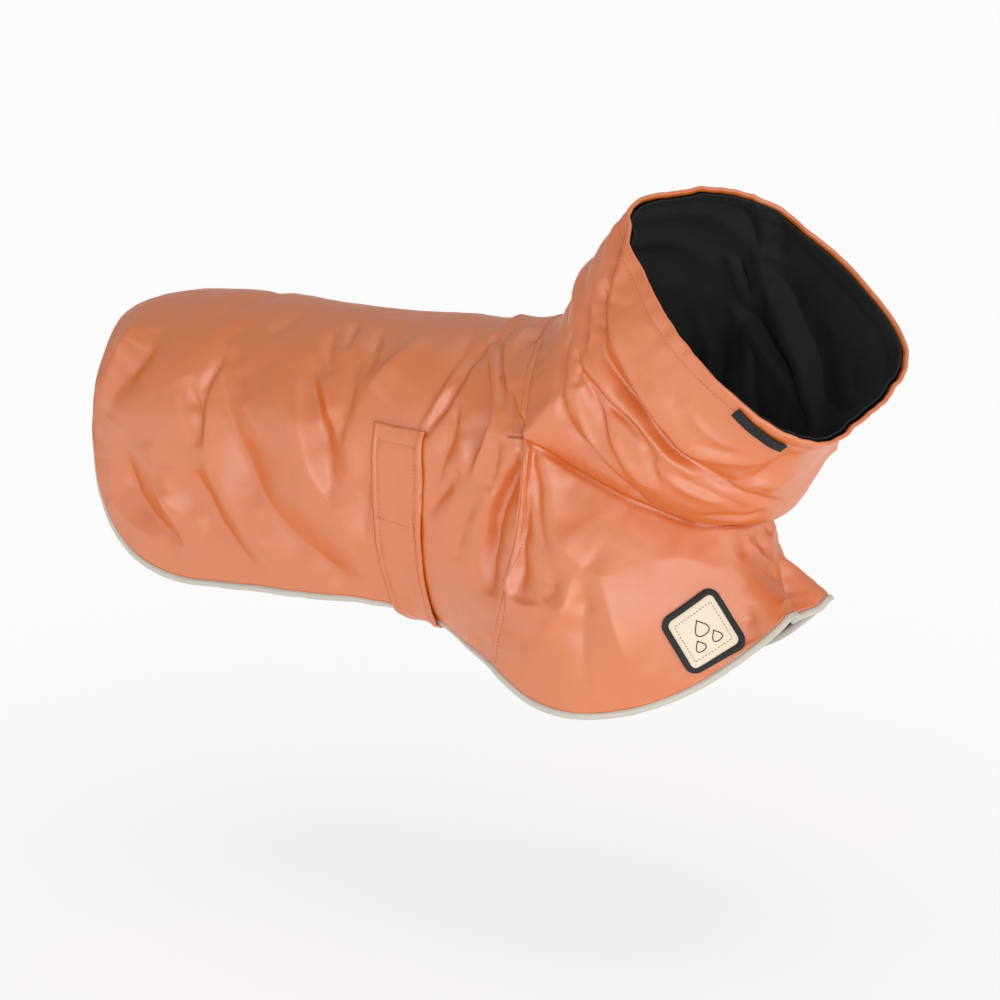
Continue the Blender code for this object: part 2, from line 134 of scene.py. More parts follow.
# %% Lamps
Lamp = namedtuple("Lamp", "name turn rise distance width height power")
LAMPS = (
    Lamp("key", turn=38, rise=9, distance=2.2, width=1.7, height=1.3, power=14),
    Lamp("front", turn=84, rise=14, distance=2.2, width=1.3, height=1.6, power=8),
    Lamp("side", turn=-24, rise=12, distance=2.4, width=1.4, height=1.6, power=4.5),
    Lamp("top", turn=150, rise=70, distance=2.6, width=2.0, height=2.0, power=7),
)
unlit = bpy.data.collections.new("unlit")
unlit.objects.link(floor)
unlit.collection_objects[0].light_linking.link_state = "EXCLUDE"
for lamp in LAMPS:
    light = bpy.data.lights.new(lamp.name, "AREA")
    light.shape = "RECTANGLE"
    light.size, light.size_y = lamp.width, lamp.height
    light.energy = lamp.power
    turn, rise = math.radians(lamp.turn), math.radians(lamp.rise)
    away = Vector((math.sin(turn) * math.cos(rise), -math.cos(turn) * math.cos(rise), math.sin(rise)))
    holder = bpy.data.objects.new(lamp.name, light)
    holder.location = LOOK_AT + away * lamp.distance
    holder.rotation_mode = "QUATERNION"
    holder.rotation_quaternion = away.to_track_quat("Z", "Y")
    holder.light_linking.receiver_collection = unlit
    bpy.context.scene.collection.objects.link(holder)
print("lamps:", [lamp.name for lamp in LAMPS])

# %% [markdown]
# A white world fills what the lamps don't reach. A brighter one would wash out the folds, and this one
# alone would look grey beyond the floor. So the Light Path node gives the camera a brighter world than
# the coat gets.

# %% World
WORLD_LIGHT = 0.52
WORLD_SEEN = 0.95
world = bpy.data.worlds.new("studio")
world.use_nodes = True
backdrop = world.node_tree.nodes["Background"]
backdrop.inputs["Color"].default_value = (1.0, 1.0, 1.0, 1)
light_path = world.node_tree.nodes.new("ShaderNodeLightPath")
strength = world.node_tree.nodes.new("ShaderNodeMix")
strength.inputs["A"].default_value = WORLD_LIGHT
strength.inputs["B"].default_value = WORLD_SEEN
world.node_tree.links.new(light_path.outputs["Is Camera Ray"], strength.inputs["Factor"])
world.node_tree.links.new(strength.outputs["Result"], backdrop.inputs["Strength"])
bpy.context.scene.world = world
bpy.context.scene.view_settings.view_transform = "Standard"
print("world:", WORLD_LIGHT, "on the coat and", WORLD_SEEN, "behind it")

# %% [markdown]
# ## Reading a form from a few sections
#
# A tailor's form is described by a few cross sections, and the cloth runs smoothly from one to the next.
# Blender could loft curves for this, but then a place on the cloth would have no number. These helpers
# keep it: `smooth` runs a cubic curve through some values, and `refine` puts finer points on a grid of
# them.

# %% Curves through points


def smooth(knots, values, at):
    """A cubic through values at knots, with slopes from their neighbours, read at one or more places."""
    knots, values, at = np.asarray(knots, float), np.asarray(values, float), np.asarray(at, float)
    slopes = np.gradient(values, knots, axis=0)
    i = np.clip(np.searchsorted(knots, at) - 1, 0, len(knots) - 2)
    extra = (slice(None),) * at.ndim + (None,) * (values.ndim - 1)
    span = (knots[i + 1] - knots[i])[extra]
    t = (at - knots[i])[extra] / span
    start = values[i] * (2 * t**3 - 3 * t**2 + 1) + slopes[i] * span * (t**3 - 2 * t**2 + t)
    end = values[i + 1] * (3 * t**2 - 2 * t**3) + slopes[i + 1] * span * (t**3 - t**2)
    return start + end


def read(rows, key, at):
    """The row of a table at one value of its key column, between its rows."""
    knots = [getattr(row, key) for row in rows]
    return type(rows[0])(*smooth(knots, np.array(rows), at))


def along(points):
    """How far along a run of points each one is."""
    return np.concatenate([[0], np.cumsum(np.linalg.norm(np.diff(points, axis=0), axis=1))])


def respaced(points, shares):
    """The run of points again, at these shares of its length."""
    at = along(points)
    return np.stack([np.interp(np.asarray(shares) * at[-1], at, points[:, k]) for k in range(3)], axis=1)


def unit(vectors):
    return vectors / np.maximum(np.linalg.norm(vectors, axis=-1, keepdims=True), 1e-9)


def mirrored(points):
    return points * (1, -1, 1)


def refine(grid, row_steps, column_steps, closed=False):
    """The grid again with these numbers of steps to its cells, on smooth curves through its points."""
    rows, columns = (
        np.concatenate([[0], *(cell + np.arange(1, count + 1) / count for cell, count in enumerate(steps))])
        for steps in (row_steps, column_steps)
    )
    across = smooth(np.arange(len(grid)), grid, rows).swapaxes(0, 1)
    count = len(across)
    if closed:
        wrapped = np.concatenate([across[-2:], across, across[:3]])
        return smooth(np.arange(-2, count + 3), wrapped, columns[:-1]).swapaxes(0, 1)
    return smooth(np.arange(count), across, columns).swapaxes(0, 1)


print("helpers for curves and grids are ready")

# %% [markdown]
# The back is one panel over the spine and both sides, with round rear corners and a longer front. Its
# half sections are the ones that its solid is made from, so the cloth lies where the solid is. Each has
# the height of the spine, the half width, the depth of the crown, how far the hem turns in, how far it
# bows and leans forward, and its drop. Only the near half is worked out, and the other is its mirror.

# %% Sections of the back
TAIL_X = -0.300
CORNER_LENGTH = 0.095
CORNER_DROP = 0.090
SHOULDER_X = 0.046
SHOULDER_SHARE = 0.43
CORNER_CELLS = 7
BACK_STEPS = (-0.184, -0.158, -0.134, -0.112, -0.091, -0.070, -0.050, -0.033, -0.016, 0.0, 0.016, 0.031)
YOKE_CELLS = 9
SIDE_CELLS = 13
SPINE = SIDE_CELLS + YOKE_CELLS
TUCK_POWER = 3.0
BOW_POWER = 1.5
SECTION_POINTS = 160
Section = namedtuple("Section", "x spine width crown tuck bow lean drop")
BACK_SECTIONS = (
    Section(x=-0.300, spine=-0.018, width=0.072, crown=0.060, tuck=0.000, bow=0.006, lean=0.010, drop=0.172),
    Section(x=-0.280, spine=-0.009, width=0.076, crown=0.067, tuck=0.002, bow=0.004, lean=0.006, drop=0.182),
    Section(x=-0.255, spine=-0.004, width=0.080, crown=0.078, tuck=0.004, bow=0.002, lean=0.002, drop=0.186),
    Section(x=-0.205, spine=0.001, width=0.084, crown=0.084, tuck=0.006, bow=0.000, lean=0.000, drop=0.190),
    Section(x=-0.120, spine=-0.001, width=0.086, crown=0.086, tuck=0.010, bow=0.000, lean=0.000, drop=0.185),
    Section(x=-0.070, spine=-0.001, width=0.084, crown=0.086, tuck=0.018, bow=0.000, lean=0.000, drop=0.187),
    Section(x=-0.033, spine=0.001, width=0.082, crown=0.082, tuck=0.032, bow=0.002, lean=0.000, drop=0.195),
    Section(x=0.000, spine=0.0015, width=0.086, crown=0.082, tuck=0.024, bow=0.010, lean=0.000, drop=0.202),
    Section(x=0.046, spine=0.008, width=0.094, crown=0.086, tuck=0.002, bow=0.024, lean=0.000, drop=0.214),
)


def half_section(x):
    """Points up the near side of the back at one place along it, from the hem to the spine."""
    cut = read(BACK_SECTIONS, "x", x)
    into_corner = np.clip((TAIL_X + CORNER_LENGTH - x) / CORNER_LENGTH, 0, 1)
    hem = cut.drop - CORNER_DROP * (1 - math.sqrt(1 - into_corner**2))
    depth = hem * (1 - np.cos(np.linspace(0, math.pi / 2, SECTION_POINTS)))
    arch = np.sqrt(1 - np.clip(1 - depth / cut.crown, 0, 1) ** 2)
    low = np.clip((depth - cut.crown) / (cut.drop - cut.crown), 0, None)
    width = cut.width * arch - cut.tuck * low**TUCK_POWER
    points = np.stack([np.full_like(depth, x), -width, cut.spine - depth], axis=1)
    share = np.clip(along(points) / along(points)[-1], 0, 1)
    points[:, 0] += cut.bow * np.sin(math.pi * share) ** BOW_POWER + cut.lean * share**2 * (3 - 2 * share)
    yoke = np.linspace(0, SHOULDER_SHARE, YOKE_CELLS + 1)
    side = np.linspace(SHOULDER_SHARE, 1, SIDE_CELLS + 1)[1:]
    return respaced(points, np.concatenate([yoke, side]))[::-1]


corner = TAIL_X + CORNER_LENGTH * (1 - np.cos(np.linspace(0, math.pi / 2, CORNER_CELLS + 1)))
halves = [half_section(x) for x in (*corner, *BACK_STEPS, SHOULDER_X)]
back_form = np.array([np.concatenate([half, mirrored(half[-2::-1])]) for half in halves])
print("back:", back_form.shape[:2], "rows from the tail and columns from the near hem")

# %% [markdown]
# The chest panel goes round the front, from one shoulder seam to the other. It hangs from the neck seam
# and flares towards its hem, so it is described by ribs: each has a hem point, a neck point, and how full
# it is between them. The far ribs are the near ones mirrored, and one stands in the middle.

# %% Ribs of the chest
CHEST_CELLS = 12
ChestRib = namedtuple("ChestRib", "hem_x hem_y hem_z top_x top_y top_z full flare")
CHEST_RIBS = (
    ChestRib(0.078, -0.101, -0.221, 0.092, -0.075, -0.069, full=0.014, flare=1.0),
    ChestRib(0.112, -0.099, -0.227, 0.118, -0.069, -0.082, full=0.017, flare=1.0),
    ChestRib(0.150, -0.078, -0.222, 0.146, -0.056, -0.096, full=0.016, flare=1.1),
    ChestRib(0.187, -0.054, -0.202, 0.171, -0.039, -0.107, full=0.012, flare=1.4),
    ChestRib(0.231, -0.031, -0.158, 0.189, -0.023, -0.109, full=0.003, flare=2.8),
)
CHEST_MIDDLE = ChestRib(0.212, 0.000, -0.158, 0.194, 0.000, -0.112, full=-0.002, flare=2.0)


def rib_points(rib):
    """Points up one rib of the chest, from its hem to the neck seam."""
    hem = np.array([rib.hem_x, rib.hem_y, rib.hem_z])
    top = np.array([rib.top_x, rib.top_y, rib.top_z])
    down = np.linspace(1, 0, SIDE_CELLS + 1)[:, None]
    share = np.concatenate([down**rib.flare, down**rib.flare, down], axis=1)
    outward = unit(np.array([rib.top_x - SHOULDER_X, rib.top_y, 0.0]))
    return top + (hem - top) * share + outward * rib.full * np.sin(math.pi * down)


near_ribs = [back_form[row, : SIDE_CELLS + 1] for row in (-3, -1)] + [rib_points(rib) for rib in CHEST_RIBS]
ribs = np.array(near_ribs + [rib_points(CHEST_MIDDLE)] + [mirrored(rib) for rib in near_ribs[::-1]])
knots = np.concatenate([[0], np.cumsum(np.linalg.norm(np.diff(ribs, axis=0), axis=2).mean(axis=1))])
chest_form = smooth(knots, ribs, np.linspace(knots[1], knots[-2], 2 * CHEST_CELLS + 1))
print("chest:", chest_form.shape[:2], "rows from the near shoulder and columns from the hem")

# %% [markdown]
# The snood is a tube. It starts on the neck seam, which is made of the edges of the other two panels, and
# ends at a tilted opening, given by its reach in twelve directions. The levels between say how far it
# puffs out.

# %% Levels of the snood
NECK_CELLS = 11
OPENING_MIDDLE = np.array((0.201, 0.003, 0.025))
OPENING_BACK = np.array((-0.725, 0.169, 0.668))
OPENING_LEFT = np.array((0.262, 0.964, 0.040))
OPENING_REACH = (0.106, 0.106, 0.096, 0.094, 0.100, 0.090, 0.091, 0.108, 0.098, 0.092, 0.097, 0.115)
OPENING_TURNS = (0, 30, 60, 90, 120, 150, 180, 207, 240, 270, 300, 330)
SnoodLevel = namedtuple("SnoodLevel", "up back side front")
SNOOD_LEVELS = (
    SnoodLevel(up=0.00, back=0.000, side=0.000, front=0.000),
    SnoodLevel(up=0.15, back=-0.004, side=0.003, front=0.008),
    SnoodLevel(up=0.35, back=-0.003, side=0.005, front=0.006),
    SnoodLevel(up=0.60, back=0.002, side=0.005, front=-0.002),
    SnoodLevel(up=0.85, back=0.001, side=0.002, front=-0.004),
    SnoodLevel(up=1.00, back=0.000, side=0.000, front=0.000),
)

shoulder = back_form[-1]
far_yoke, near_yoke = shoulder[SPINE : SPINE + YOKE_CELLS], shoulder[SIDE_CELLS + 1 : SPINE]
seam = np.concatenate([far_yoke, chest_form[::-1, -1], near_yoke])
length = along(np.concatenate([seam, seam[:1]]))
turns = 360 * length[:-1] / length[-1]
wrapped_turns = [OPENING_TURNS[-1] - 360, *OPENING_TURNS, 360, 390]
wrapped_reach = [OPENING_REACH[-1], *OPENING_REACH, *OPENING_REACH[:2]]
reach = smooth(wrapped_turns, wrapped_reach, turns)[:, None]
turns = np.radians(turns)
outward = np.cos(turns)[:, None] * OPENING_BACK + np.sin(turns)[:, None] * OPENING_LEFT
opening = OPENING_MIDDLE + outward * reach
levels = []
for up in np.linspace(0, 1, NECK_CELLS + 1):
    level = read(SNOOD_LEVELS, "up", up)
    ends = level.back * np.clip(np.cos(turns), 0, 1) + level.front * np.clip(-np.cos(turns), 0, 1)
    puff = ends + level.side * np.abs(np.sin(turns))
    levels.append(seam + (opening - seam) * up + outward * puff[:, None])
snood_form = np.array(levels)
AROUND = snood_form.shape[1]
print("snood:", snood_form.shape[:2], "rows from the seam and columns from the spine")

# %% [markdown]
# ## Panels and folds
#
# A panel is a fine grid of outer points. A place on it is still given by the row and column of its
# sections, so that a fold or a stitch can be put where it is seen on the coat. A panel keeps its outward
# directions, and it also keeps its calm form, from before the folds, for what must stay smooth. The first
# rows of the back crowd together in its round corners, where their directions would waver, so `steady`
# rows borrow the next one's.

# %% A panel


class Panel:
    """A cloth piece as a fine grid of points, with so many steps to each cell of its form."""

    def __init__(self, form, row_steps, column_steps, closed=False, steady=0):
        self.form = form
        self.steady = steady  # so many rows at the edge face the same way as the next one
        self.knots = [np.concatenate([[0], np.cumsum(steps)]) for steps in (row_steps, column_steps)]
        self.points = refine(form, row_steps, column_steps, closed)
        self.closed = closed
        self.turn_out()
        self.calm, self.calm_out = self.points, self.out

    def turn_out(self):
        """Works out the outward directions again, after the points have moved."""
        points = self.points
        if self.closed:
            across = np.roll(points, -1, 1) - np.roll(points, 1, 1)
        else:
            across = np.gradient(points, axis=1)
        self.out = unit(np.cross(np.gradient(points, axis=0), across))
        self.out[: self.steady] = self.out[self.steady]

    def index(self, axis, place):
        """The fine row or column, not rounded, at a row or column of the form."""
        knots = self.knots[axis]
        if axis == 1 and self.closed:
            place = place % (len(knots) - 1)
        return np.interp(place, np.arange(len(knots)), knots)

    def read(self, values, place):
        """A value of the panel at a place, between its four nearest points."""
        rows, columns = values.shape[:2]
        row = np.clip(self.index(0, place[0]), 0, rows - 1.000001)
        column = self.index(1, place[1])
        column = column % columns if self.closed else np.clip(column, 0, columns - 1.000001)
        i, j = int(row), int(column)
        right = (j + 1) % columns
        lower = values[i, j] * (1 - column + j) + values[i, right] * (column - j)
        upper = values[i + 1, j] * (1 - column + j) + values[i + 1, right] * (column - j)
        return lower * (1 - row + i) + upper * (row - i)

    def at(self, place):
        return self.read(self.points, place)

    def out_at(self, place):
        return unit(self.read(self.out, place))

    def push(self, rise):
        """Moves every point outwards by its own amount."""
        self.points = self.points + self.out * rise[:, :, None]
        self.turn_out()


# steps to each cell, finer on the side that the camera sees
NEAR_STEPS, FAR_STEPS = 7, 4
BACK_ROW_STEPS = (2, 4, 5, 7, 8, 9, 10, 10, 12, 12) + (11,) * 10
BACK_COLUMN_STEPS = (NEAR_STEPS,) * (SPINE + 1) + (FAR_STEPS,) * (SPINE - 1)
CHEST_ROW_STEPS = (10,) * (CHEST_CELLS + 2) + (6,) * (CHEST_CELLS - 2)
CHEST_COLUMN_STEPS = (9,) * SIDE_CELLS
SNOOD_FAR_CELLS = 18
SNOOD_ROW_STEPS = (9,) * NECK_CELLS
SNOOD_COLUMN_STEPS = (5,) * SNOOD_FAR_CELLS + (9,) * (AROUND - SNOOD_FAR_CELLS)
STEADY_ROWS = 14
back = Panel(back_form, BACK_ROW_STEPS, BACK_COLUMN_STEPS, steady=STEADY_ROWS)
chest = Panel(chest_form, CHEST_ROW_STEPS, CHEST_COLUMN_STEPS)
snood = Panel(snood_form, SNOOD_ROW_STEPS, SNOOD_COLUMN_STEPS, closed=True)
print("points:", [panel.points.shape[:2] for panel in (back, chest, snood)])

# %% [markdown]
# A fold is a smooth line with a soft ridge or trough along it. Real folds are rarely even: one flank is
# steep and the other runs out slowly. So each side has its own width, and the fold swells and fades along
# its length. A cloth simulation makes folds too, but not the ones of this coat, so each is placed one by
# one.

# %% A fold
Fold = namedtuple("Fold", "path height left right ends", defaults=((0.0, 0.0),))
LINE_STEPS = 28
CREST = 1.4  # 2 is a round crest, and less is a sharper one
FADE = 0.7  # how fast a fold swells from its ends
WAVER = (0.35, 5.0)  # how much its height wanders, and how often
REACHES = 3  # widths at which a fold is gone


def fold_rise(panel, fold, seed):
    """How far one fold moves each point of a panel outwards."""
    shares = np.linspace(0, 1, LINE_STEPS + 1)
    places = smooth(np.linspace(0, 1, len(fold.path)), np.array(fold.path), shares)
    line = np.array([panel.at(place) for place in places])
    facing = np.array([panel.out_at(place) for place in places])
    margin = REACHES * max(fold.left, fold.right)
    rise = np.zeros(panel.points.shape[:2])
    near = ((panel.points > line.min(0) - margin) & (panel.points < line.max(0) + margin)).all(-1)
    points = panel.points[near]
    run = line[1:] - line[:-1]
    part = ((points[:, None] - line[:-1]) * run).sum(2) / (run**2).sum(1)
    part = np.clip(part, 0, 1)
    off = points[:, None] - line[:-1] - run * part[..., None]
    away = np.linalg.norm(off, axis=2)
    nearest = away.argmin(1)
    pick = np.arange(len(points)), nearest
    away, off, share = away[pick], off[pick], (nearest + part[pick]) / LINE_STEPS
    left = unit(np.cross(facing[nearest], run[nearest]))
    lean = (left * off).sum(1) / np.maximum(away, 1e-6)
    width = fold.right + (fold.left - fold.right) * (lean + 1) / 2
    held = fold.ends[0] + (fold.ends[1] - fold.ends[0]) * share
    strength = held + (1 - held) * np.sin(math.pi * np.clip(share, 0, 1)) ** FADE
    waver = np.array([noise.noise((seed * 7.3, WAVER[1] * s, 0.5)) for s in shares])
    strength = strength * (1 + WAVER[0] * np.interp(share, shares, waver))
    rise[near] = fold.height * strength * np.exp(-((away / width) ** CREST))
    return rise


def edge_ease(panel, edges, hold):
    """From 0 on these edge lines of a panel to 1 at a distance from them."""
    away = [np.linalg.norm(panel.points[:, :, None] - line, axis=3).min(axis=2) for line in edges]
    ease = np.clip(np.min(away, axis=0) / hold, 0, 1)
    return ease**2 * (3 - 2 * ease)


def fold_panel(panel, folds, ease):
    """Presses a list of folds into a panel."""
    rise = sum(fold_rise(panel, fold, seed) for seed, fold in enumerate(folds))
    panel.push(rise * ease)


print("a fold has a path, a height and a width on each side")

# %% [markdown]
# ## Folds drawn over the picture
#
# The folds of the near side are drawn as a painter would, as lines over the 1000 pixel picture,
# with a height in millimetres and a width in pixels for each flank. A ridge has a height above 0, and a
# trough below 0. Left and right are those of someone who walks along the line on the cloth's outer face.
# This scene's camera says where a cell of a panel is seen, so `place_under` finds the cell under a point
# and the place in it.

# %% From the picture to a panel
Seen = namedtuple("Seen", "path height left right ends", defaults=((0.0, 0.0),))
PICTURE = 1000  # pixels across and down
PIXEL = 0.00068  # size of one at the coat
MM = 0.001


def in_picture(points):
    """Where points of space fall in the picture, in pixels from its top left corner."""
    from_camera = (points - np.array(camera.location)) @ np.array(camera.rotation_quaternion.to_matrix())
    scale = PICTURE * LENS / SENSOR
    return PICTURE / 2 + scale * from_camera[..., :2] * (1, -1) / -from_camera[..., 2:]


def crossed(a, b):
    return a[..., 0] * b[..., 1] - a[..., 1] * b[..., 0]


def place_under(panel, spot):
    """The row and column of a panel's form under a spot of the picture, where it faces the camera."""
    flat = in_picture(panel.form)
    if panel.closed:
        flat = np.concatenate([flat, flat[:, :1]], axis=1)
    corner = flat[:-1, :-1]
    down, across = flat[1:, :-1] - corner, flat[:-1, 1:] - corner
    size = crossed(down, across)
    row, column = crossed(spot - corner, across) / size, crossed(down, spot - corner) / size
    stray = np.maximum(np.abs(row - 0.5), np.abs(column - 0.5))
    stray[size > 0] = np.inf
    i, j = np.unravel_index(stray.argmin(), stray.shape)
    return i + row[i, j], j + column[i, j]


def drawn(panel, folds, deeper):
    """Folds of a panel from lines drawn over the picture, all of them deeper by one factor."""
    return [
        Fold(
            tuple(place_under(panel, spot) for spot in fold.path), MM * deeper * fold.height,
            PIXEL * fold.left, PIXEL * fold.right, fold.ends,
        )
        for fold in folds
    ]


print("a pixel at the coat, mm:", 1000 * PIXEL)

# %% [markdown]
# ## Folds of the back
#
# Worn cloth hangs from the spine and is held by the strap, the shoulder seam and the hem. So the folds
# run down from the spine, fan up from the strap's corner to the withers, and radiate from the shoulder
# point, where three pieces meet. The far side gets like folds, moved a little and less deep, because no
# two sides of a coat crease alike. Towards the bound edges a fold fades, since the piping holds the cloth
# smooth there.

# %% Drawn folds of the back
BACK_FOLDS = (
    # rear slope
    Seen(((155, 328), (148, 347), (135, 362), (122, 378), (112, 395), (106, 415)), -4.8, 18, 22),
    Seen(((146, 312), (132, 330), (117, 350), (106, 372), (98, 400)), 2.4, 10, 10),
    Seen(((186, 338), (232, 308), (292, 292)), -1.5, 14, 16),
    Seen(((212, 350), (262, 318)), -1.4, 12, 16),
    Seen(((262, 338), (312, 312)), -1.3, 12, 14),
    # rear small pleat
    Seen(((188, 376), (192, 398), (196, 420), (199, 446)), -3.4, 5, 9),
    Seen(((224, 343), (215, 361), (206, 378), (201, 396), (200, 420), (201, 446)), -3.0, 4, 8),
    # long drape
    Seen(
        (
            (219, 366), (221, 400), (228, 428), (238, 458), (252, 490),
            (270, 518), (292, 543), (318, 564), (350, 590),
        ),
        -6.8, 34, 19, (0.5, 0.8),
    ),
    Seen(((268, 365), (298, 440), (332, 505), (364, 560)), 5.0, 20, 38, (0.2, 0.4)),
    Seen(((206, 398), (205, 440), (211, 465), (223, 490), (241, 522), (263, 552), (280, 575)), 3.2, 10, 13),
    Seen(((222, 360), (236, 392), (254, 430)), 1.2, 12, 7),
    Seen(((232, 345), (236, 372), (246, 402)), -1.6, 10, 9),
    # rear low
    Seen(((193, 470), (205, 500), (222, 532), (250, 565)), -5.0, 12, 26, (0.1, 0.4)),
    Seen(((168, 465), (168, 490), (174, 515), (188, 540), (210, 560)), 3.2, 14, 16, (0.1, 0.4)),
    # rear corner
    Seen(
        ((123, 450), (127, 475), (134, 496), (148, 516), (168, 533), (184, 544)),
        -5.6, 18, 11, (0.2, 0.1),
    ),
    Seen(((146, 440), (158, 480), (182, 512), (205, 530)), 2.6, 12, 16),
    Seen(((110, 460), (112, 485), (120, 508), (138, 528), (160, 545)), 2.4, 8, 10),
    # middle
    Seen(
        ((308, 357), (311, 380), (316, 405), (322, 432), (327, 462), (332, 490), (335, 507)),
        -5.4, 14, 15,
    ),
    Seen(((327, 372), (340, 410), (350, 450), (354, 490)), 2.4, 14, 12),
    Seen(((297, 375), (298, 400), (304, 430), (313, 462), (323, 490)), 2.0, 8, 12),
    Seen(((315, 372), (323, 384), (328, 402), (333, 422), (338, 440)), 2.8, 8, 8),
    Seen(((357, 348), (354, 372), (349, 398), (344, 422), (340, 440)), -3.4, 7, 11),
    Seen(((338, 328), (331, 345), (330, 360), (333, 376)), -2.4, 6, 9),
    Seen(((360, 321), (352, 335), (345, 350)), -2.0, 5, 7),
    Seen(((385, 326), (377, 340), (371, 357), (365, 378)), -2.6, 8, 9),
    Seen(((430, 334), (402, 358), (386, 371), (370, 388)), 4.0, 26, 9, (0.3, 0.2)),
    Seen(((405, 322), (398, 335), (392, 350)), -1.2, 6, 7),
    # fan
    Seen(((411, 434), (424, 412), (439, 385), (453, 362), (468, 343), (480, 328)), -2.2, 10, 5),
    Seen(((418, 432), (430, 412), (444, 388), (457, 366)), 1.8, 5, 5),
    Seen(
        ((425, 432), (436, 414), (448, 396), (459, 378), (469, 359), (481, 347), (492, 337), (506, 326)),
        -3.8, 9, 4, (0.6, 0.3),
    ),
    Seen(((457, 399), (452, 420), (445, 446), (436, 474), (426, 497)), -3.8, 8, 13),
    Seen(((458, 400), (460, 425), (461, 450), (462, 473)), 2.2, 6, 7),
    Seen(((484, 352), (486, 380), (487, 404), (483, 425), (474, 447), (464, 474)), -5.6, 5, 24, (0.4, 0.1)),
    Seen(((489, 360), (492, 395), (492, 420), (486, 437), (478, 455), (470, 476)), 2.4, 6, 4),
    Seen(((497, 335), (500, 355), (501, 380), (502, 404)), -4.0, 4, 7, (0.6, 0.2)),
    Seen(((504, 350), (505, 378)), 1.6, 5, 4),
    Seen(((506, 385), (513, 408), (521, 424), (527, 439)), -3.6, 4, 7, (0.1, 0.7)),
    Seen(((497, 437), (493, 465), (487, 492)), -3.4, 8, 14),
    Seen(((424, 515), (441, 492), (458, 470)), -3.0, 9, 8),
    Seen(((455, 560), (458, 535), (466, 512), (480, 495)), -2.4, 12, 12),
    # withers
    Seen(((483, 345), (492, 335), (505, 325), (520, 319)), 1.6, 6, 7, (0.2, 0.6)),
    Seen(((502, 345), (506, 333), (516, 325)), -1.8, 5, 6),
    Seen(((511, 355), (517, 341), (529, 330), (545, 321)), 2.0, 7, 6, (0.1, 0.6)),
    Seen(((524, 350), (533, 338), (546, 328), (556, 320)), -1.6, 5, 6),
    # under the shoulder point
    Seen(((524, 450), (508, 478), (496, 508), (488, 540), (485, 570), (487, 596)), -7.5, 12, 9, (0.8, 0.1)),
    Seen(((516, 450), (500, 478), (488, 506), (480, 535)), 2.2, 6, 8, (0.6, 0.0)),
    Seen(((460, 634), (478, 641)), 1.8, 6, 6),
    Seen(((368, 450), (366, 490), (366, 530), (368, 565)), -1.6, 5, 8, (0.4, 0.4)),
)
print("drawn folds of the back:", len(BACK_FOLDS))

# %% Folds pressed into the back
BACK_DEEPER = 1.6  # times the drawn heights, which the soft light shows too faintly
FAR_SHARE = 0.8
FAR_SHIFT = 0.35  # cells


def far_side(folds, axis, last):
    """The same folds on the other side of a panel, less deep and moved a little, each by its own amount."""
    made = []
    for number, fold in enumerate(folds):
        path = np.array(fold.path)
        path[:, axis] = last - path[:, axis]
        path[:, 0] += FAR_SHIFT * noise.noise((number * 1.7, 3.1, 0.2))
        height = fold.height * FAR_SHARE
        made.append(fold._replace(path=path, height=height, left=fold.right, right=fold.left))
    return made


SEAM_HOLD = 0.005  # the cloth lies flat so near a seam
TAIL_HOLD, HEM_HOLD = (0.08, 0.022), (0.45, 0.018)  # how much of a fold is left at the edge, and how far in


def held(panel, edges, hold):
    """Less of a fold towards the bound edges, which the piping keeps smooth."""
    return hold[0] + (1 - hold[0]) * edge_ease(panel, edges, hold[1])


hems = [back.points[:, 0], back.points[:, -1]]
ease = edge_ease(back, [back.points[-1]], SEAM_HOLD)
ease = ease * held(back, [back.points[0]], TAIL_HOLD) * held(back, hems, HEM_HOLD)
back_folds = drawn(back, BACK_FOLDS, BACK_DEEPER)
fold_panel(back, [*back_folds, *far_side(back_folds, 1, 2 * SPINE)], ease)
print("folds of both sides:", 2 * len(BACK_FOLDS))

# %% [markdown]
# ## Folds of the chest
#
# Below the shoulder point the chest cloth is gathered into a dart: a thin ridge that runs down and turns
# forward at its end, with a deep trough on either side. Further on it hangs in one broad fold, and where
# the front is pinched up under the snood it puckers.

# %% Drawn folds of the chest
CHEST_FOLDS = (
    # pleat
    Seen(
        ((528, 449), (521, 486), (515, 521), (511, 569), (513, 592), (521, 603), (541, 606)),
        5.2, 3, 13, (0.9, 0.1),
    ),
    Seen(((532, 453), (525, 500), (520, 540), (519, 570), (519, 590)), -4.6, 14, 3, (0.7, 0.3)),
    # facet edge
    Seen(((537, 450), (545, 478), (547, 508), (553, 533), (567, 552), (585, 567)), 4.8, 30, 13, (0.7, 0.2)),
    Seen(((588, 566), (600, 585), (611, 618), (624, 652), (640, 670), (662, 681)), 3.4, 20, 16, (0.3, 0.2)),
    Seen(((588, 575), (585, 605), (583, 640), (584, 680)), -4.0, 16, 16, (0.2, 0.4)),
    Seen(((533, 452), (538, 482), (538, 512), (543, 541), (552, 565)), -4.4, 10, 7, (0.6, 0.1)),
    Seen(((566, 572), (567, 598), (555, 622), (540, 640)), 2.8, 10, 12),
    Seen(((548, 562), (553, 585), (545, 602)), -2.6, 8, 10),
    Seen(((500, 612), (513, 634), (526, 642), (540, 630)), -1.5, 9, 9),
    # front
    Seen(((749, 534), (745, 547), (741, 559)), -1.8, 5, 8, (0.4, 0.1)),
    Seen(((744, 526), (750, 545), (760, 557), (772, 562)), 1.9, 5, 8, (0.5, 0.4)),
    Seen(((756, 534), (764, 550)), -1.8, 4, 4, (0.6, 0.2)),
    Seen(((765, 532), (770, 552)), 1.6, 5, 5, (0.6, 0.2)),
    Seen(((748, 604), (750, 625), (752, 646)), -3.0, 8, 10),
    # soft
    Seen(((650, 560), (690, 560), (735, 562)), 1.4, 14, 14),
)
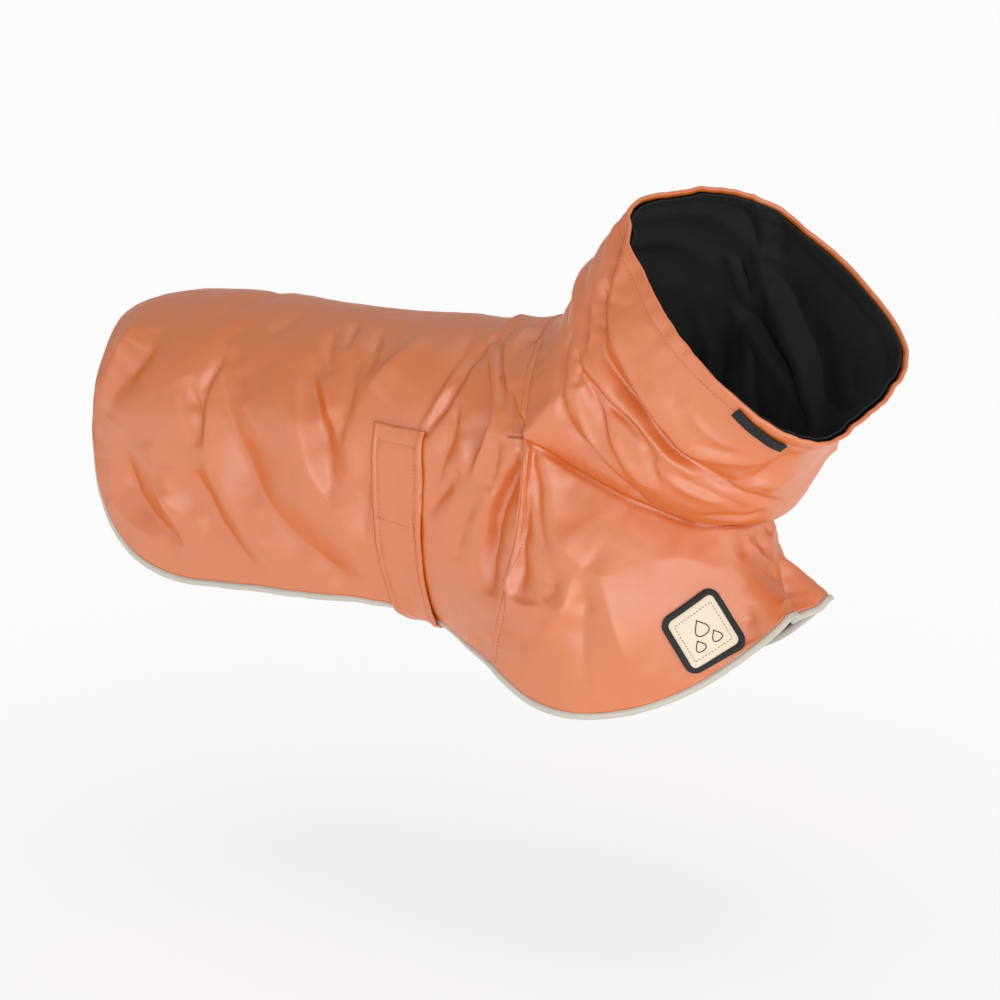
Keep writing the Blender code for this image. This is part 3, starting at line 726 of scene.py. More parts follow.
print("drawn folds of the chest:", len(CHEST_FOLDS))

# %% [markdown]
# In front the hem parts into a lobe on each side, and the picture shows the far lobe behind the near one,
# rolled open with its outer face up. The solid has it a little higher. So the rows there are first moved
# down and on, most at the lobe's tip, and its crest, hollow and curl are folds in rows and columns of the
# chest, given one by one like those of the side that the camera doesn't see.

# %% The far lobe
LOBE_FOLDS = (
    Fold(((12.4, 5.6), (12.0, 3.4), (11.5, 2.0), (11.1, 0.9)), 0.0042, 0.003, 0.008, (0.5, 0.5)),
    Fold(((12.9, 4.8), (12.6, 2.8), (12.3, 1.2), (12.1, 0.0)), -0.0065, 0.011, 0.004, (0.3, 0.8)),
    Fold(((11.1, 1.0), (10.8, 1.0), (10.3, 0.4)), 0.0020, 0.0027, 0.0027),
    Fold(((12.9, 6.8), (13.5, 4.2), (13.9, 1.8), (14.1, 0.0)), 0.0022, 0.005, 0.006, (0.4, 0.6)),
)
LOBE_ROWS = (10.4, 11.0, 12.0, 12.9, 13.5, 14.1)
LOBE_DOWN = (0.0, 5.0, 13.0, 12.5, 5.0, 0.0)  # mm
LOBE_ON = (0.0, 3.5, 8.0, 2.0, 0.0, 0.0)  # mm
LOBE_COLUMNS = 7  # up from the hem
rows, columns = (np.interp(np.arange(knot[-1] + 1), knot, np.arange(len(knot))) for knot in chest.knots)
fading = (np.clip(1 - columns / LOBE_COLUMNS, 0, 1) ** 1.5)[None]
chest.points[..., 2] -= MM * np.interp(rows, LOBE_ROWS, LOBE_DOWN)[:, None] * fading
chest.points[..., 0] += MM * np.interp(rows, LOBE_ROWS, LOBE_ON)[:, None] * fading
chest.turn_out()
chest.calm, chest.calm_out = chest.points, chest.out
print("the far lobe hangs lower by, mm:", max(LOBE_DOWN))

# %% Folds pressed into the chest
CHEST_DEEPER = 1.25
CHEST_SPLIT = 9  # the drawn folds from this one on belong to the front, which has its own on the far side
CHEST_FAR_FOLDS = (
    Fold(((13.4, 12.6), (13.0, 10.8), (13.3, 8.8)), -0.0030, 0.004, 0.005),
    Fold(((13.9, 12.6), (13.6, 10.4), (14.2, 8.0)), 0.0024, 0.005, 0.005),
    Fold(((13.1, 7.6), (13.9, 5.2), (15.2, 4.2)), -0.0028, 0.007, 0.008),
    Fold(((14.4, 7.8), (16.0, 6.4), (17.6, 6.2)), 0.0022, 0.010, 0.010),
    Fold(((15.0, 3.2), (15.2, 1.4), (15.0, 0.3)), -0.0024, 0.007, 0.006),
)
chest_edges = [chest.points[0], chest.points[-1], chest.points[:, -1]]
chest_folds = drawn(chest, CHEST_FOLDS, CHEST_DEEPER)
far_folds = far_side(chest_folds[:CHEST_SPLIT], 0, 2 * CHEST_CELLS)
all_folds = [*chest_folds, *LOBE_FOLDS, *far_folds, *CHEST_FAR_FOLDS]
fold_panel(chest, all_folds, edge_ease(chest, chest_edges, SEAM_HOLD))
print("folds of both sides:", len(all_folds))

# %% [markdown]
# ## Folds of the snood
#
# The snood is a tall tube pushed down on itself, so it stacks in rolls that run round the neck, from high
# at the back to low in front. The upper band stays smooth, and stands over the deepest roll.

# %% Drawn folds of the snood
SNOOD_FOLDS = (
    # deep roll
    Seen(
        (
            (600, 325), (606, 360), (622, 387), (640, 411), (656, 435),
            (674, 455), (700, 471), (727, 484), (757, 478), (786, 457),
        ),
        -8.5, 9, 8, (0.5, 0.3),
    ),
    Seen(
        (
            (609, 318), (614, 343), (629, 373), (645, 396), (662, 424),
            (681, 447), (704, 455), (738, 461), (765, 460),
        ),
        5.5, 26, 7, (0.5, 0.2),
    ),
    Seen(
        ((584, 352), (594, 376), (610, 396), (630, 417), (648, 438), (666, 457), (688, 473), (716, 487)),
        4.4, 6, 6,
    ),
    Seen(((580, 362), (592, 386), (606, 404), (626, 424), (643, 444), (656, 466)), -5.4, 7, 5),
    Seen(((582, 375), (592, 398), (602, 420), (608, 452)), -4.4, 6, 5, (0.4, 0.0)),
    Seen(((600, 402), (609, 428), (624, 458), (642, 480), (658, 488)), 3.2, 7, 6),
    Seen(((571, 385), (580, 415), (592, 440), (606, 462), (626, 482)), 3.6, 6, 6),
    Seen(((572, 330), (563, 350), (561, 380), (562, 402)), -4.4, 5, 6, (0.3, 0.5)),
    Seen(((575, 350), (578, 368), (578, 388)), -3.2, 4, 5),
    Seen(((562, 404), (572, 430), (588, 447), (602, 462), (622, 482), (652, 506)), -4.6, 5, 6, (0.5, 0.5)),
    # nape
    Seen(((589, 284), (587, 320), (585, 352)), -4.0, 4, 5),
    Seen(((594, 286), (591, 322), (588, 350)), 2.4, 4, 4),
    Seen(((604, 282), (601, 305), (600, 330)), -5.0, 6, 6),
    Seen(((616, 228), (609, 255), (605, 290)), 3.2, 6, 6, (0.5, 0.0)),
    Seen(((631, 236), (624, 265), (617, 285), (612, 302)), 4.2, 10, 9, (0.5, 0.0)),
    Seen(((626, 222), (618, 250), (611, 280), (607, 302)), -3.6, 6, 6, (0.5, 0.0)),
    # front
    Seen(((646, 452), (652, 468), (660, 486)), -3.0, 5, 5),
    Seen(((668, 470), (690, 484), (720, 499), (752, 509)), -3.6, 7, 8),
    Seen(((690, 478), (720, 486), (757, 496), (786, 502)), -2.8, 4, 6, (0.0, 0.5)),
    Seen(((728, 486), (757, 483), (790, 478)), 4.0, 9, 8, (0.2, 0.6)),
    Seen(((660, 472), (680, 486), (712, 500), (745, 506)), 2.8, 6, 6),
    Seen(((690, 515), (720, 517), (750, 516), (765, 508)), -2.6, 5, 4),
    Seen(((692, 440), (725, 450), (760, 456)), -2.2, 7, 7),
    Seen(((690, 412), (700, 425), (720, 440), (745, 448)), 1.8, 7, 6),
    Seen(((648, 376), (670, 392), (690, 400)), -1.2, 8, 6),
)
print("drawn folds of the snood:", len(SNOOD_FOLDS))

# %% [markdown]
# The rolls go on round the nape, out of the camera's sight. They are given in rows and columns of the
# snood.

# %% Folds pressed into the snood
SNOOD_DEEPER = 1.1
SNOOD_HOLD = 0.008
NAPE_FOLDS = (
    Fold(((5.9, 35.8), (6.7, 39.0), (6.9, 42.0), (6.6, 45.0), (5.8, 48.0)), -0.0056, 0.007, 0.008),
    Fold(((3.7, 35.4), (4.2, 39.0), (4.1, 43.0), (3.5, 47.0)), -0.0042, 0.006, 0.007),
    Fold(((5.0, 36.0), (5.4, 39.5), (5.5, 43.0), (4.8, 47.5)), 0.0030, 0.007, 0.007),
    Fold(((8.7, 38.0), (9.2, 41.0), (9.0, 45.0), (8.2, 48.0)), -0.0034, 0.007, 0.008),
    Fold(((1.8, 37.0), (2.2, 40.5), (2.0, 44.5)), -0.0026, 0.006, 0.006),
)
near_folds = drawn(snood, SNOOD_FOLDS, SNOOD_DEEPER)
snood_folds = [*near_folds, *far_side(near_folds, 1, AROUND), *NAPE_FOLDS]
fold_panel(snood, snood_folds, edge_ease(snood, [snood.points[0]], SNOOD_HOLD))
print("folds all round:", len(snood_folds))

# %% [markdown]
# ## Small creases
#
# Between the folds a light nylon is never quite flat. A slow uneven swell and a finer ripple are added
# from noise, about a millimetre high, so they only show where the light grazes. A bump in the material
# would cost less, but its edge stays straight, and the mesh would have none of it.

# %% Swell and ripple
SWELL = (0.030, 0.0011)  # size and height
RIPPLE = (0.009, 0.00028)
CHEST_SWELL, CHEST_RIPPLE = (0.030, 0.0005), (0.009, 0.00015)
CREASE_HOLD = 0.006


def crease(panel, edges, swell=SWELL, ripple=RIPPLE):
    """Presses a swell and a ripple into a panel, but not next to some edges."""
    rise = np.zeros(panel.points.shape[:2])
    for size, height in (swell, ripple):
        flat = [noise.noise(Vector(point) / size) for point in panel.points.reshape(-1, 3)]
        rise += height * np.reshape(flat, rise.shape)
    panel.push(rise * edge_ease(panel, edges, CREASE_HOLD))


crease(back, [back.points[-1]])
crease(chest, [chest.points[0], chest.points[-1], chest.points[:, -1]], CHEST_SWELL, CHEST_RIPPLE)
crease(snood, [snood.points[0]])
print("swell and ripple, mm high:", [round(1000 * height, 2) for _, height in (SWELL, RIPPLE)])

# %% [markdown]
# ## Seam lines
#
# A seam is the line where two panels are sewn together and turned in. The thread holds the cloth down
# along it, so it lies in a shallow groove, and the cloth on both sides is drawn up into small puckers. A
# row of topstitching a few millimetres off does the same again. `sew` presses both into a panel along a
# line, as real form, because the light catches puckers more than the thread itself.

# %% Sew a line into a panel
Run = namedtuple("Run", "points out")
RUN_STEP = 0.001
ROUGH_STEPS = 60  # enough to measure a line's length
GROOVE_WIDTH = 0.0014
AT_A_TIME = 40  # points of a line, which keeps the sums small


def run_on(panel, path):
    """A run along a panel through these places, with a point for about every millimetre."""
    path = np.array(path, float)
    knots = np.linspace(0, 1, len(path))
    rough = np.array([panel.at(place) for place in smooth(knots, path, np.linspace(0, 1, ROUGH_STEPS))])
    places = smooth(knots, path, np.linspace(0, 1, int(along(rough)[-1] / RUN_STEP) + 2))
    return Run(np.array([panel.at(p) for p in places]), np.array([panel.out_at(p) for p in places]))


def sew(panel, line, groove, pucker, reach=0.007, pitch=0.0085, seed=0.0):
    """Presses a groove and puckers into a panel along a line of points."""
    rise = np.zeros(panel.points.shape[:2])
    margin = 4 * reach
    near = ((panel.points > line.min(0) - margin) & (panel.points < line.max(0) + margin)).all(-1)
    points = panel.points[near]
    away = np.full(len(points), np.inf)
    at = np.zeros(len(points))
    places = along(line)
    for start in range(0, len(line), AT_A_TIME):
        part = line[start : start + AT_A_TIME]
        far = np.linalg.norm(points[:, None] - part, axis=2)
        nearest = far.argmin(1)
        least = far[np.arange(len(points)), nearest]
        closer = least < away
        away[closer] = least[closer]
        at[closer] = places[start + nearest[closer]]
    wave = np.array([noise.noise((s / pitch, seed, 0.37)) for s in places])
    wave = np.interp(at, places, wave)
    close = away / reach
    drawn_up = 2 * pucker * wave * close * np.exp(1 - close)
    rise[near] = drawn_up - groove * np.exp(-((away / GROOVE_WIDTH) ** 2))
    panel.push(rise)


print("sew presses a groove and puckers into a panel")

# %% Seams of each panel
BACK_LAST, CHEST_LAST = len(back_form) - 1, 2 * CHEST_CELLS  # rows at the neck seam and the far shoulder
NEAR_SHOULDER, FAR_SHOULDER, FAR_HEM = SIDE_CELLS, 2 * SPINE - SIDE_CELLS, 2 * SPINE  # columns of the back
NECK_EDGE = SIDE_CELLS  # column of the chest
back_seams = [
    run_on(back, [(BACK_LAST, start), (BACK_LAST, (start + end) / 2), (BACK_LAST, end)])
    for start, end in ((NEAR_SHOULDER, FAR_SHOULDER), (0, NEAR_SHOULDER), (FAR_SHOULDER, FAR_HEM))
]
for seed, run in enumerate(back_seams):
    sew(back, run.points, 0.0004, 0.0006, seed=seed + 0.5)
neck_on_chest = run_on(chest, [(0, NECK_EDGE), (CHEST_CELLS, NECK_EDGE), (CHEST_LAST, NECK_EDGE)])
sew(chest, neck_on_chest.points, 0.0004, 0.0004, reach=0.005, pitch=0.009, seed=4.5)
for seed, row in ((5.5, 0), (6.5, CHEST_LAST)):
    shoulder_run = run_on(chest, [(row, 0), (row, NECK_EDGE / 2), (row, NECK_EDGE)])
    sew(chest, shoulder_run.points, 0.0003, 0.0005, seed=seed)
neck_on_snood = run_on(snood, [(0, column) for column in np.linspace(0, AROUND, 43)])
sew(snood, neck_on_snood.points, 0.0003, 0.0007, reach=0.006, pitch=0.008, seed=7.5)
print("neck seam, mm:", round(1000 * along(neck_on_snood.points)[-1]))

# %% [markdown]
# Topstitching runs a few millimetres from the seams, and round the hem of the collar, where it wanders a
# little because the needle does. These lines are kept, since the stitches are set on them later. The free
# edges have no groove of their own, only the puckers of the binding.

# %% Topstitching
HEM_ROWS = (10.35, 10.4, 10.32, 10.38, 10.3, 10.36, 10.35)
hem_columns = np.linspace(0, AROUND, 85)
hem_rows = np.interp(hem_columns, np.linspace(0, AROUND, 7), HEM_ROWS)
collar_hem = list(zip(hem_rows, hem_columns))
sew(snood, run_on(snood, collar_hem).points, 0.0006, 0.0006, reach=0.005, pitch=0.009, seed=8.5)
TOPSTITCHING = (
    # behind the neck seam, below it, and down the near and the far shoulder
    (back, [(19.77, column) for column in np.linspace(13.0, 31.0, 37)]),
    (chest, [(row, 12.72) for row in np.linspace(0.35, 23.65, 48)]),
    (chest, [(0.27, column) for column in np.linspace(0.25, 12.72, 26)]),
    (chest, [(23.73, column) for column in np.linspace(0.25, 12.72, 26)]),
)
for seed, (panel, path) in enumerate(TOPSTITCHING):
    sew(panel, run_on(panel, path).points, 0.00035, 0.0003, seed=9.5 + seed)
back_edges = (back.points[:, 0], back.points[:, -1], back.points[0])
for panel, lines in ((back, back_edges), (chest, (chest.points[:, 0],))):
    for seed, line in enumerate(lines):
        sew(panel, line, 0.0, 0.0006, reach=0.006, pitch=0.010, seed=20.5 + seed)
print("rows of topstitching:", len(TOPSTITCHING) + 1)

# %% [markdown]
# ## Finishes of the cloth
#
# The shell is a satin coral nylon: thin, smooth and a little shiny. Its threads are about as wide as a
# pixel from here, so they only soften the highlight, but close up they show. A shared weave effect raises
# crossing threads from the cloth's own flat coordinates, in metres: it is the higher of a wave across and
# a wave along. A second shared effect is a slow cloud of noise, since no dyed cloth is of one even
# colour.

# %% Shared effects


def new_group(name, inputs, outputs):
    """A shader node group with these named values in and out."""
    group = bpy.data.node_groups.new(name, "ShaderNodeTree")
    for label, kind, value in inputs:
        socket = group.interface.new_socket(label, in_out="INPUT", socket_type=kind)
        if value is not None:
            socket.default_value = value
    for label, kind in outputs:
        group.interface.new_socket(label, in_out="OUTPUT", socket_type=kind)
    return group, group.nodes.new("NodeGroupInput"), group.nodes.new("NodeGroupOutput")


def add_node(tree, kind, **settings):
    node = tree.nodes.new(kind)
    for key, value in settings.items():
        setattr(node, key, value)
    return node


VECTOR, FLOAT = "NodeSocketVector", "NodeSocketFloat"
weave, taken, given = new_group(
    "weave",
    [("Place", VECTOR, None), ("Radians per metre", FLOAT, 2000.0)],
    [("Height", FLOAT)],
)
spaced = add_node(weave, "ShaderNodeVectorMath", operation="SCALE")
waves = add_node(weave, "ShaderNodeVectorMath", operation="SINE")
parts = add_node(weave, "ShaderNodeSeparateXYZ")
over = add_node(weave, "ShaderNodeMath", operation="MAXIMUM")
weave.links.new(taken.outputs["Place"], spaced.inputs[0])
weave.links.new(taken.outputs["Radians per metre"], spaced.inputs["Scale"])
weave.links.new(spaced.outputs[0], waves.inputs[0])
weave.links.new(waves.outputs[0], parts.inputs[0])
weave.links.new(parts.outputs["X"], over.inputs[0])
weave.links.new(parts.outputs["Y"], over.inputs[1])
weave.links.new(over.outputs[0], given.inputs["Height"])

uneven, taken, given = new_group(
    "uneven",
    [("Place", VECTOR, None), ("Patches per metre", FLOAT, 12.0)],
    [("Amount", FLOAT)],
)
cloud = add_node(uneven, "ShaderNodeTexNoise")
cloud.inputs["Detail"].default_value = 3.0
cloud.inputs["Roughness"].default_value = 0.6
uneven.links.new(taken.outputs["Place"], cloud.inputs["Vector"])
uneven.links.new(taken.outputs["Patches per metre"], cloud.inputs["Scale"])
uneven.links.new(cloud.outputs["Fac"], given.inputs["Amount"])
print("shared effects:", weave.name, uneven.name)

# %% [markdown]
# A finish puts the two together: the cloud moves the colour between two tones, and the weave drives a
# Bump node, which turns the light without moving a point. A painted picture of cloth would do it too, but
# it would repeat over a coat of this size. The threads are given as radians of their wave a metre, so
# 9000 is 0.7 mm a thread.

# %% A cloth finish
THREAD_STRENGTH = 0.6


def cloth_finish(name, dark, light, roughness, threads, raised, gloss=0.5, index=1.5):
    """A woven cloth whose colour drifts between two tones."""
    made = plain_material(name, dark, roughness)
    tree = made.node_tree
    shader = tree.nodes["Principled BSDF"]
    shader.inputs["Specular IOR Level"].default_value = gloss
    shader.inputs["IOR"].default_value = index
    place = add_node(tree, "ShaderNodeTexCoord")
    patches = add_node(tree, "ShaderNodeGroup", node_tree=uneven)
    threading = add_node(tree, "ShaderNodeGroup", node_tree=weave)
    threading.inputs["Radians per metre"].default_value = threads
    tones = add_node(tree, "ShaderNodeMix", data_type="RGBA")
    tones.inputs["A"].default_value = (*dark, 1)
    tones.inputs["B"].default_value = (*light, 1)
    bump = add_node(tree, "ShaderNodeBump")
    bump.inputs["Distance"].default_value = raised
    bump.inputs["Strength"].default_value = THREAD_STRENGTH
    tree.links.new(place.outputs["Object"], patches.inputs["Place"])
    tree.links.new(place.outputs["UV"], threading.inputs["Place"])
    tree.links.new(patches.outputs["Amount"], tones.inputs["Factor"])
    tree.links.new(tones.outputs["Result"], shader.inputs["Base Color"])
    tree.links.new(threading.outputs["Height"], bump.inputs["Height"])
    tree.links.new(bump.outputs["Normal"], shader.inputs["Normal"])
    return made


SATIN = {"threads": 9000, "raised": 0.00004, "gloss": 1.0, "index": 1.72}
coral = cloth_finish("coral_nylon", (0.68, 0.139, 0.006), (0.71, 0.151, 0.010), 0.35, **SATIN)
lining_cloth = cloth_finish(
    "black_lining", (0.010, 0.010, 0.012), (0.016, 0.016, 0.018), 0.75,
    threads=7000, raised=0.00005, gloss=0.3,
)
coral_strap = cloth_finish("coral_strap", (0.67, 0.137, 0.006), (0.70, 0.149, 0.010), 0.37, **SATIN)
twill = cloth_finish(
    "cream_twill", (0.83, 0.70, 0.54), (0.88, 0.76, 0.60), 0.8, threads=4500, raised=0.0001,
)
reflective = cloth_finish(
    "grey_reflective", (0.56, 0.53, 0.46), (0.62, 0.585, 0.51), 0.45, threads=6000, raised=0.00004,
)
# the piping's flange: near black as painted shade, the shadow line between the cloth and the bead
flange_painted_shade = plain_material("flange_painted_shade", (0.035, 0.033, 0.03), 0.8)
black_thread = plain_material("black_thread", (0.012, 0.012, 0.013), 0.6)
coral_thread = plain_material("coral_thread", (0.50, 0.14, 0.07), 0.55)
black_tape = cloth_finish(
    "black_tape", (0.012, 0.012, 0.013), (0.02, 0.02, 0.022), 0.6, threads=5000, raised=0.0001, gloss=0.3,
)
print("finishes:", len(bpy.data.materials))

# %% [markdown]
# ## From a panel to a piece of cloth
#
# At a seam the edge of a real panel is turned in, as the seam allowance, and light can't come through.
# Panels that only touch would show a slit. So each panel's last points bend down at its seams and go on
# under its neighbour. All the panels that meet at a seam have to bend the same way there, so its
# direction is shared.

# %% Seam allowances
SEAM_SHARED = 0.004  # panels so near share a seam
BEND_IN, BEND_DOWN = 0.0009, 0.0001  # where the cloth starts to bend, in from the seam and down
SEAM_DEPTH = 0.0006
TURN_IN = 0.0024  # how deep the turned edge goes
TURN_UNDER = 0.0008  # and how far under its neighbour
seam_lines = [
    (panel.calm[place], panel.calm_out[place])
    for panel, place in ((back, -1), (chest, 0), (chest, -1), (chest, np.s_[:, -1]), (snood, 0))
]


def seam_of(panel, place):
    """A seam's line on a panel, with the outward direction that all the panels meeting there share."""
    line = panel.calm[place]
    total = np.zeros(line.shape)
    for points, out in seam_lines:
        away = np.linalg.norm(line[:, None] - points, axis=2)
        total += out[away.argmin(1)] * (away.min(1) < SEAM_SHARED)[:, None]
    return line, unit(total)


def turned_in(points, out, seam, axis, end):
    """The grid and its outward directions, with one edge turned in as at a seam."""
    points, out = points.swapaxes(0, axis), out.swapaxes(0, axis)
    if end == 0:
        points, out = points[::-1], out[::-1]
    spare = (points.shape[1] - len(seam[0])) // 2
    edge, facing = (np.pad(values, ((spare, spare), (0, 0)), mode="edge") for values in seam)
    within = unit(points[-2] - edge)
    sideways = unit(within - facing * (within * facing).sum(1, keepdims=True))
    rows = [
        edge + within * BEND_IN - facing * BEND_DOWN,
        edge - facing * SEAM_DEPTH,
        edge - sideways * TURN_UNDER - facing * TURN_IN,
    ]
    points, out = np.concatenate([points[:-1], rows]), np.concatenate([out[:-1], [facing] * 3])
    if end == 0:
        points, out = points[::-1], out[::-1]
    return points.swapaxes(0, axis), out.swapaxes(0, axis)


print("seam lines:", len(seam_lines))

# %% [markdown]
# Each piece starts as Blender's flat grid with as many points as its panel, and the grid's points are
# moved to the panel's. Its flat coordinates are kept in metres, so the weave runs with the cut. A
# Solidify modifier then gives the cloth its thickness inwards, with the black backing on the inside.
# Modelling both faces by hand would be twice the work, and the modifier keeps them apart evenly.

# %% Pieces from grids


def grid_shape(points, close_rows=False, close_columns=False):
    """A bmesh grid with its points at these, facing the way of rows x columns."""
    if close_rows:
        points = np.concatenate([points, points[:1]])
    if close_columns:
        points = np.concatenate([points, points[:, :1]], axis=1)
    points = points[:, ::-1]
    rows, columns = points.shape[:2]
    up = np.concatenate([[0], np.linalg.norm(np.diff(points, axis=0), axis=2).mean(1).cumsum()])
    across = np.concatenate([[0], np.linalg.norm(np.diff(points, axis=1), axis=2).mean(0).cumsum()])
    shape = bmesh.new()
    flat = shape.loops.layers.uv.new("cloth")
    bmesh.ops.create_grid(shape, x_segments=columns - 1, y_segments=rows - 1, size=0.5, calc_uvs=True)
    for vert, place in zip(shape.verts, points.reshape(-1, 3)):
        vert.co = place
    shape.verts.index_update()
    for face in shape.faces:
        for corner_loop in face.loops:
            row, column = divmod(corner_loop.vert.index, columns)
            corner_loop[flat].uv = across[column], up[row]
    if close_rows or close_columns:
        bmesh.ops.remove_doubles(shape, verts=shape.verts, dist=1e-6)
    shape.normal_update()
    return shape


def cloth(name, points, thick, outer, inner, closed=False):
    """A piece of cloth from a grid of its outer points, with its thickness inwards."""
    piece = object_from(name, grid_shape(points, close_columns=closed), outer, inner)
    solid = piece.modifiers.new("thickness", "SOLIDIFY")
    solid.thickness = thick
    solid.offset = -1
    solid.use_even_offset = False
    solid.material_offset = 1
    solid.material_offset_rim = 0
    return piece


def dress(piece, slot, *nodes):
    """Hangs a piece from the frame's root, and hides the solids of the frame that it stands for. Its
    material slot is not used.
    """
    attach(piece, "root")
    if nodes:
        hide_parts(*nodes)


print("a piece of cloth is a grid with a thickness")

# %% [markdown]
# The back has one seam, at its front edge. The chest has three: its two shoulders and its neck edge.
# Their free edges are left as they are, for the binding.

# %% Cloth of the back and the chest
SHELL = 0.0015
points, out = turned_in(back.points, back.out, seam_of(back, -1), 0, -1)
back_piece = cloth("back_cloth", points, SHELL, coral, lining_cloth)
dress(back_piece, "shell", "back_panel")
points, out = chest.points, chest.out
for place, axis, end in ((0, 0, 0), (-1, 0, -1), (np.s_[:, -1], 1, -1)):
    points, out = turned_in(points, out, seam_of(chest, place), axis, end)
chest_piece = cloth("chest_cloth", points, SHELL, coral, lining_cloth)
dress(chest_piece, "shell", "chest_panel")
print("faces:", len(back_piece.data.polygons), len(chest_piece.data.polygons))

# %% [markdown]
# The snood's edge is a double hem: the cloth rolls over and comes a little way down inside. The roll is a
# few more rows on the grid, on a half circle. A Bevel modifier would round the edge as well, but would
# leave it without the inner leg that shows from above.

# %% Snood with its rolled edge
NECK_SHELL = 0.0012
ROLL = 0.0014  # radius of the rolled edge
ROLL_STEPS = 6
LEG = (0.0012, 0.0026)  # how far down inside its last rows are
points, out = turned_in(snood.points, snood.out, seam_of(snood, 0), 0, 0)
top, facing = points[-1], out[-1]
rising = unit(points[-1] - points[-2])
rolled = [
    top + rising * ROLL * math.sin(turn) - facing * ROLL * (1 - math.cos(turn))
    for turn in np.linspace(0, math.pi, ROLL_STEPS + 1)[1:]
]
rolled += [top - facing * 2 * ROLL - rising * down for down in LEG]
snood_piece = cloth("snood_cloth", np.concatenate([points, rolled]), NECK_SHELL, coral, lining_cloth, True)
dress(snood_piece, "shell", "snood")
print("faces:", len(snood_piece.data.polygons))

# %% [markdown]
# The black lining is a second tube inside the first one, on the same folds. Near the opening it draws back
# behind the roll, and it stops just under it, so only a thin lip of coral shows.

# %% Lining of the snood
LINING_GAP = 0.0006
LINING = 0.0008
FIRST_ROW = 5  # it starts a little above the neck seam
LIP_FROM, LIP_OVER = 0.90, 0.09  # shares of the height where it draws back behind the roll
LIP_CLEAR = 0.0016
LIP_DOWN = 0.0014  # and how far under the edge it stops
rows = snood.points[FIRST_ROW:]
share = np.linspace(FIRST_ROW / (len(snood.points) - 1), 1, len(rows))[:, None, None]
by_lip = np.clip((share - LIP_FROM) / LIP_OVER, 0, 1)
by_lip = by_lip**2 * (3 - 2 * by_lip)
depth = NECK_SHELL + LINING_GAP + (2 * ROLL - NECK_SHELL + LIP_CLEAR) * by_lip
inside = rows - snood.out[FIRST_ROW:] * depth
lip = inside[-1] - unit(inside[-1] - inside[-2]) * LIP_DOWN
inside = np.concatenate([inside[:-2], [inside[-2] * 0.3 + lip * 0.7]])
lining_piece = cloth("snood_inside", inside, LINING, lining_cloth, lining_cloth, True)
dress(lining_piece, "lining", "snood_lining")
print("faces:", len(lining_piece.data.polygons))

# %% [markdown]
# ## Binding round the hem
#
# The free edge of the coat is bound with a reflective piping, one closed loop. Its section is a thin
# flange, which goes into the seam, and a flat bead; the flange is near black as painted shade, for the
# shadow line between the cloth and the bead. A bevelled curve could carry it, but would twist at the
# corners, so each point of the section is moved out of the edge line by the panels' own directions. Small
# changes in its width and height keep it from looking machined. Along the tail only a dark line shows
# from above, so there the section turns under the cloth.

# %% Piping
PIPING_SECTION = (  # beyond the edge and out of it, mm
    (0.15, -0.35), (0.15, 0.35), (0.95, 0.40), (1.10, 1.00), (1.70, 1.40),
    (2.90, 1.45), (4.20, 1.20), (5.05, 0.60), (5.25, 0.0), (5.05, -0.60),
    (4.20, -1.20), (2.90, -1.45), (1.70, -1.40), (1.10, -1.00), (0.95, -0.40),
)
FLANGE = 0.00092  # faces nearer to the middle line than this are the flange, near black as painted shade
TURNED_UNDER = math.radians(86)  # how far the section turns along the tail
TURNED_IN = 0.0011  # and is drawn back from its edge
TURN_EASE = 150  # times that the turn is evened out towards the sides
LUMP, LUMP_WIDTH, LUMP_HEIGHT = 0.010, 0.06, 0.1  # length, and shares of the width and the height
WANDER, WANDER_HEIGHT = 0.035, 0.0005


def round_hem(on_back, on_chest):
    """Values of the back and the chest at the free edge, as one closed run from the near shoulder."""
    return np.concatenate([on_back[::-1, 0], on_back[0, 1:-1], on_back[:, -1], on_chest[-2:0:-1, 0]])


def evened(values, times):
    """The closed run again, with each value drawn to its neighbours."""
    for _ in range(times):
        values = (np.roll(values, 1, 0) + 2 * values + np.roll(values, -1, 0)) / 4
    return values


hem = evened(round_hem(back.points, chest.points), 2)
hem_out = unit(evened(round_hem(back.calm_out, chest.calm_out), 12))
middle = hem - hem_out * SHELL / 2
beyond = unit(evened(np.cross(hem_out, np.roll(middle, -1, 0) - np.roll(middle, 1, 0)), 4))
at = along(np.concatenate([hem, hem[:1]]))[:-1]
tail_first, tail_count = len(back.points), back.points.shape[1] - 2
turned = np.zeros((len(hem), 1))
turned[tail_first : tail_first + tail_count] = 1
turned = evened(turned, TURN_EASE)
cos, sin = np.cos(TURNED_UNDER * turned), np.sin(TURNED_UNDER * turned)
beyond, hem_out = beyond * cos - hem_out * sin, hem_out * cos + beyond * sin
middle = middle - hem_out * TURNED_IN * turned
lumps = np.array([noise.noise((s / LUMP, 1.5, 0)) for s in at])[:, None]
wander = np.array([noise.noise((s / WANDER, 4.5, 0)) for s in at])[:, None] * WANDER_HEIGHT
wider, higher = 1 + LUMP_WIDTH * lumps, 1 + LUMP_HEIGHT * lumps
rings = np.array([
    middle + beyond * (a * MM * wider) + hem_out * (b * MM * higher + wander) for a, b in PIPING_SECTION
])
shape = grid_shape(rings, close_rows=True, close_columns=True)
bmesh.ops.recalc_face_normals(shape, faces=shape.faces)
piping_piece = object_from("piping", shape, reflective, flange_painted_shade)
# the flange's faces take the near-black painted shade
for face in piping_piece.data.polygons:
    nearest = np.linalg.norm(middle - np.array(face.center), axis=1).min()
    face.material_index = int(nearest < FLANGE)
dress(piping_piece, "piping", "hem_piping")
print("hem, mm:", round(1000 * at[-1]))

# %% [markdown]
# ## Belly strap
#
# The strap is sewn flat on the near side, goes under the belly and fastens inside the far side. It is one
# grid: the rows of the back panel that it crosses, moved out, a run under the belly, and the far rows
# moved in. A ribbon on a curve would be quicker, but this one lies on every fold of the panel that it is
# sewn to.

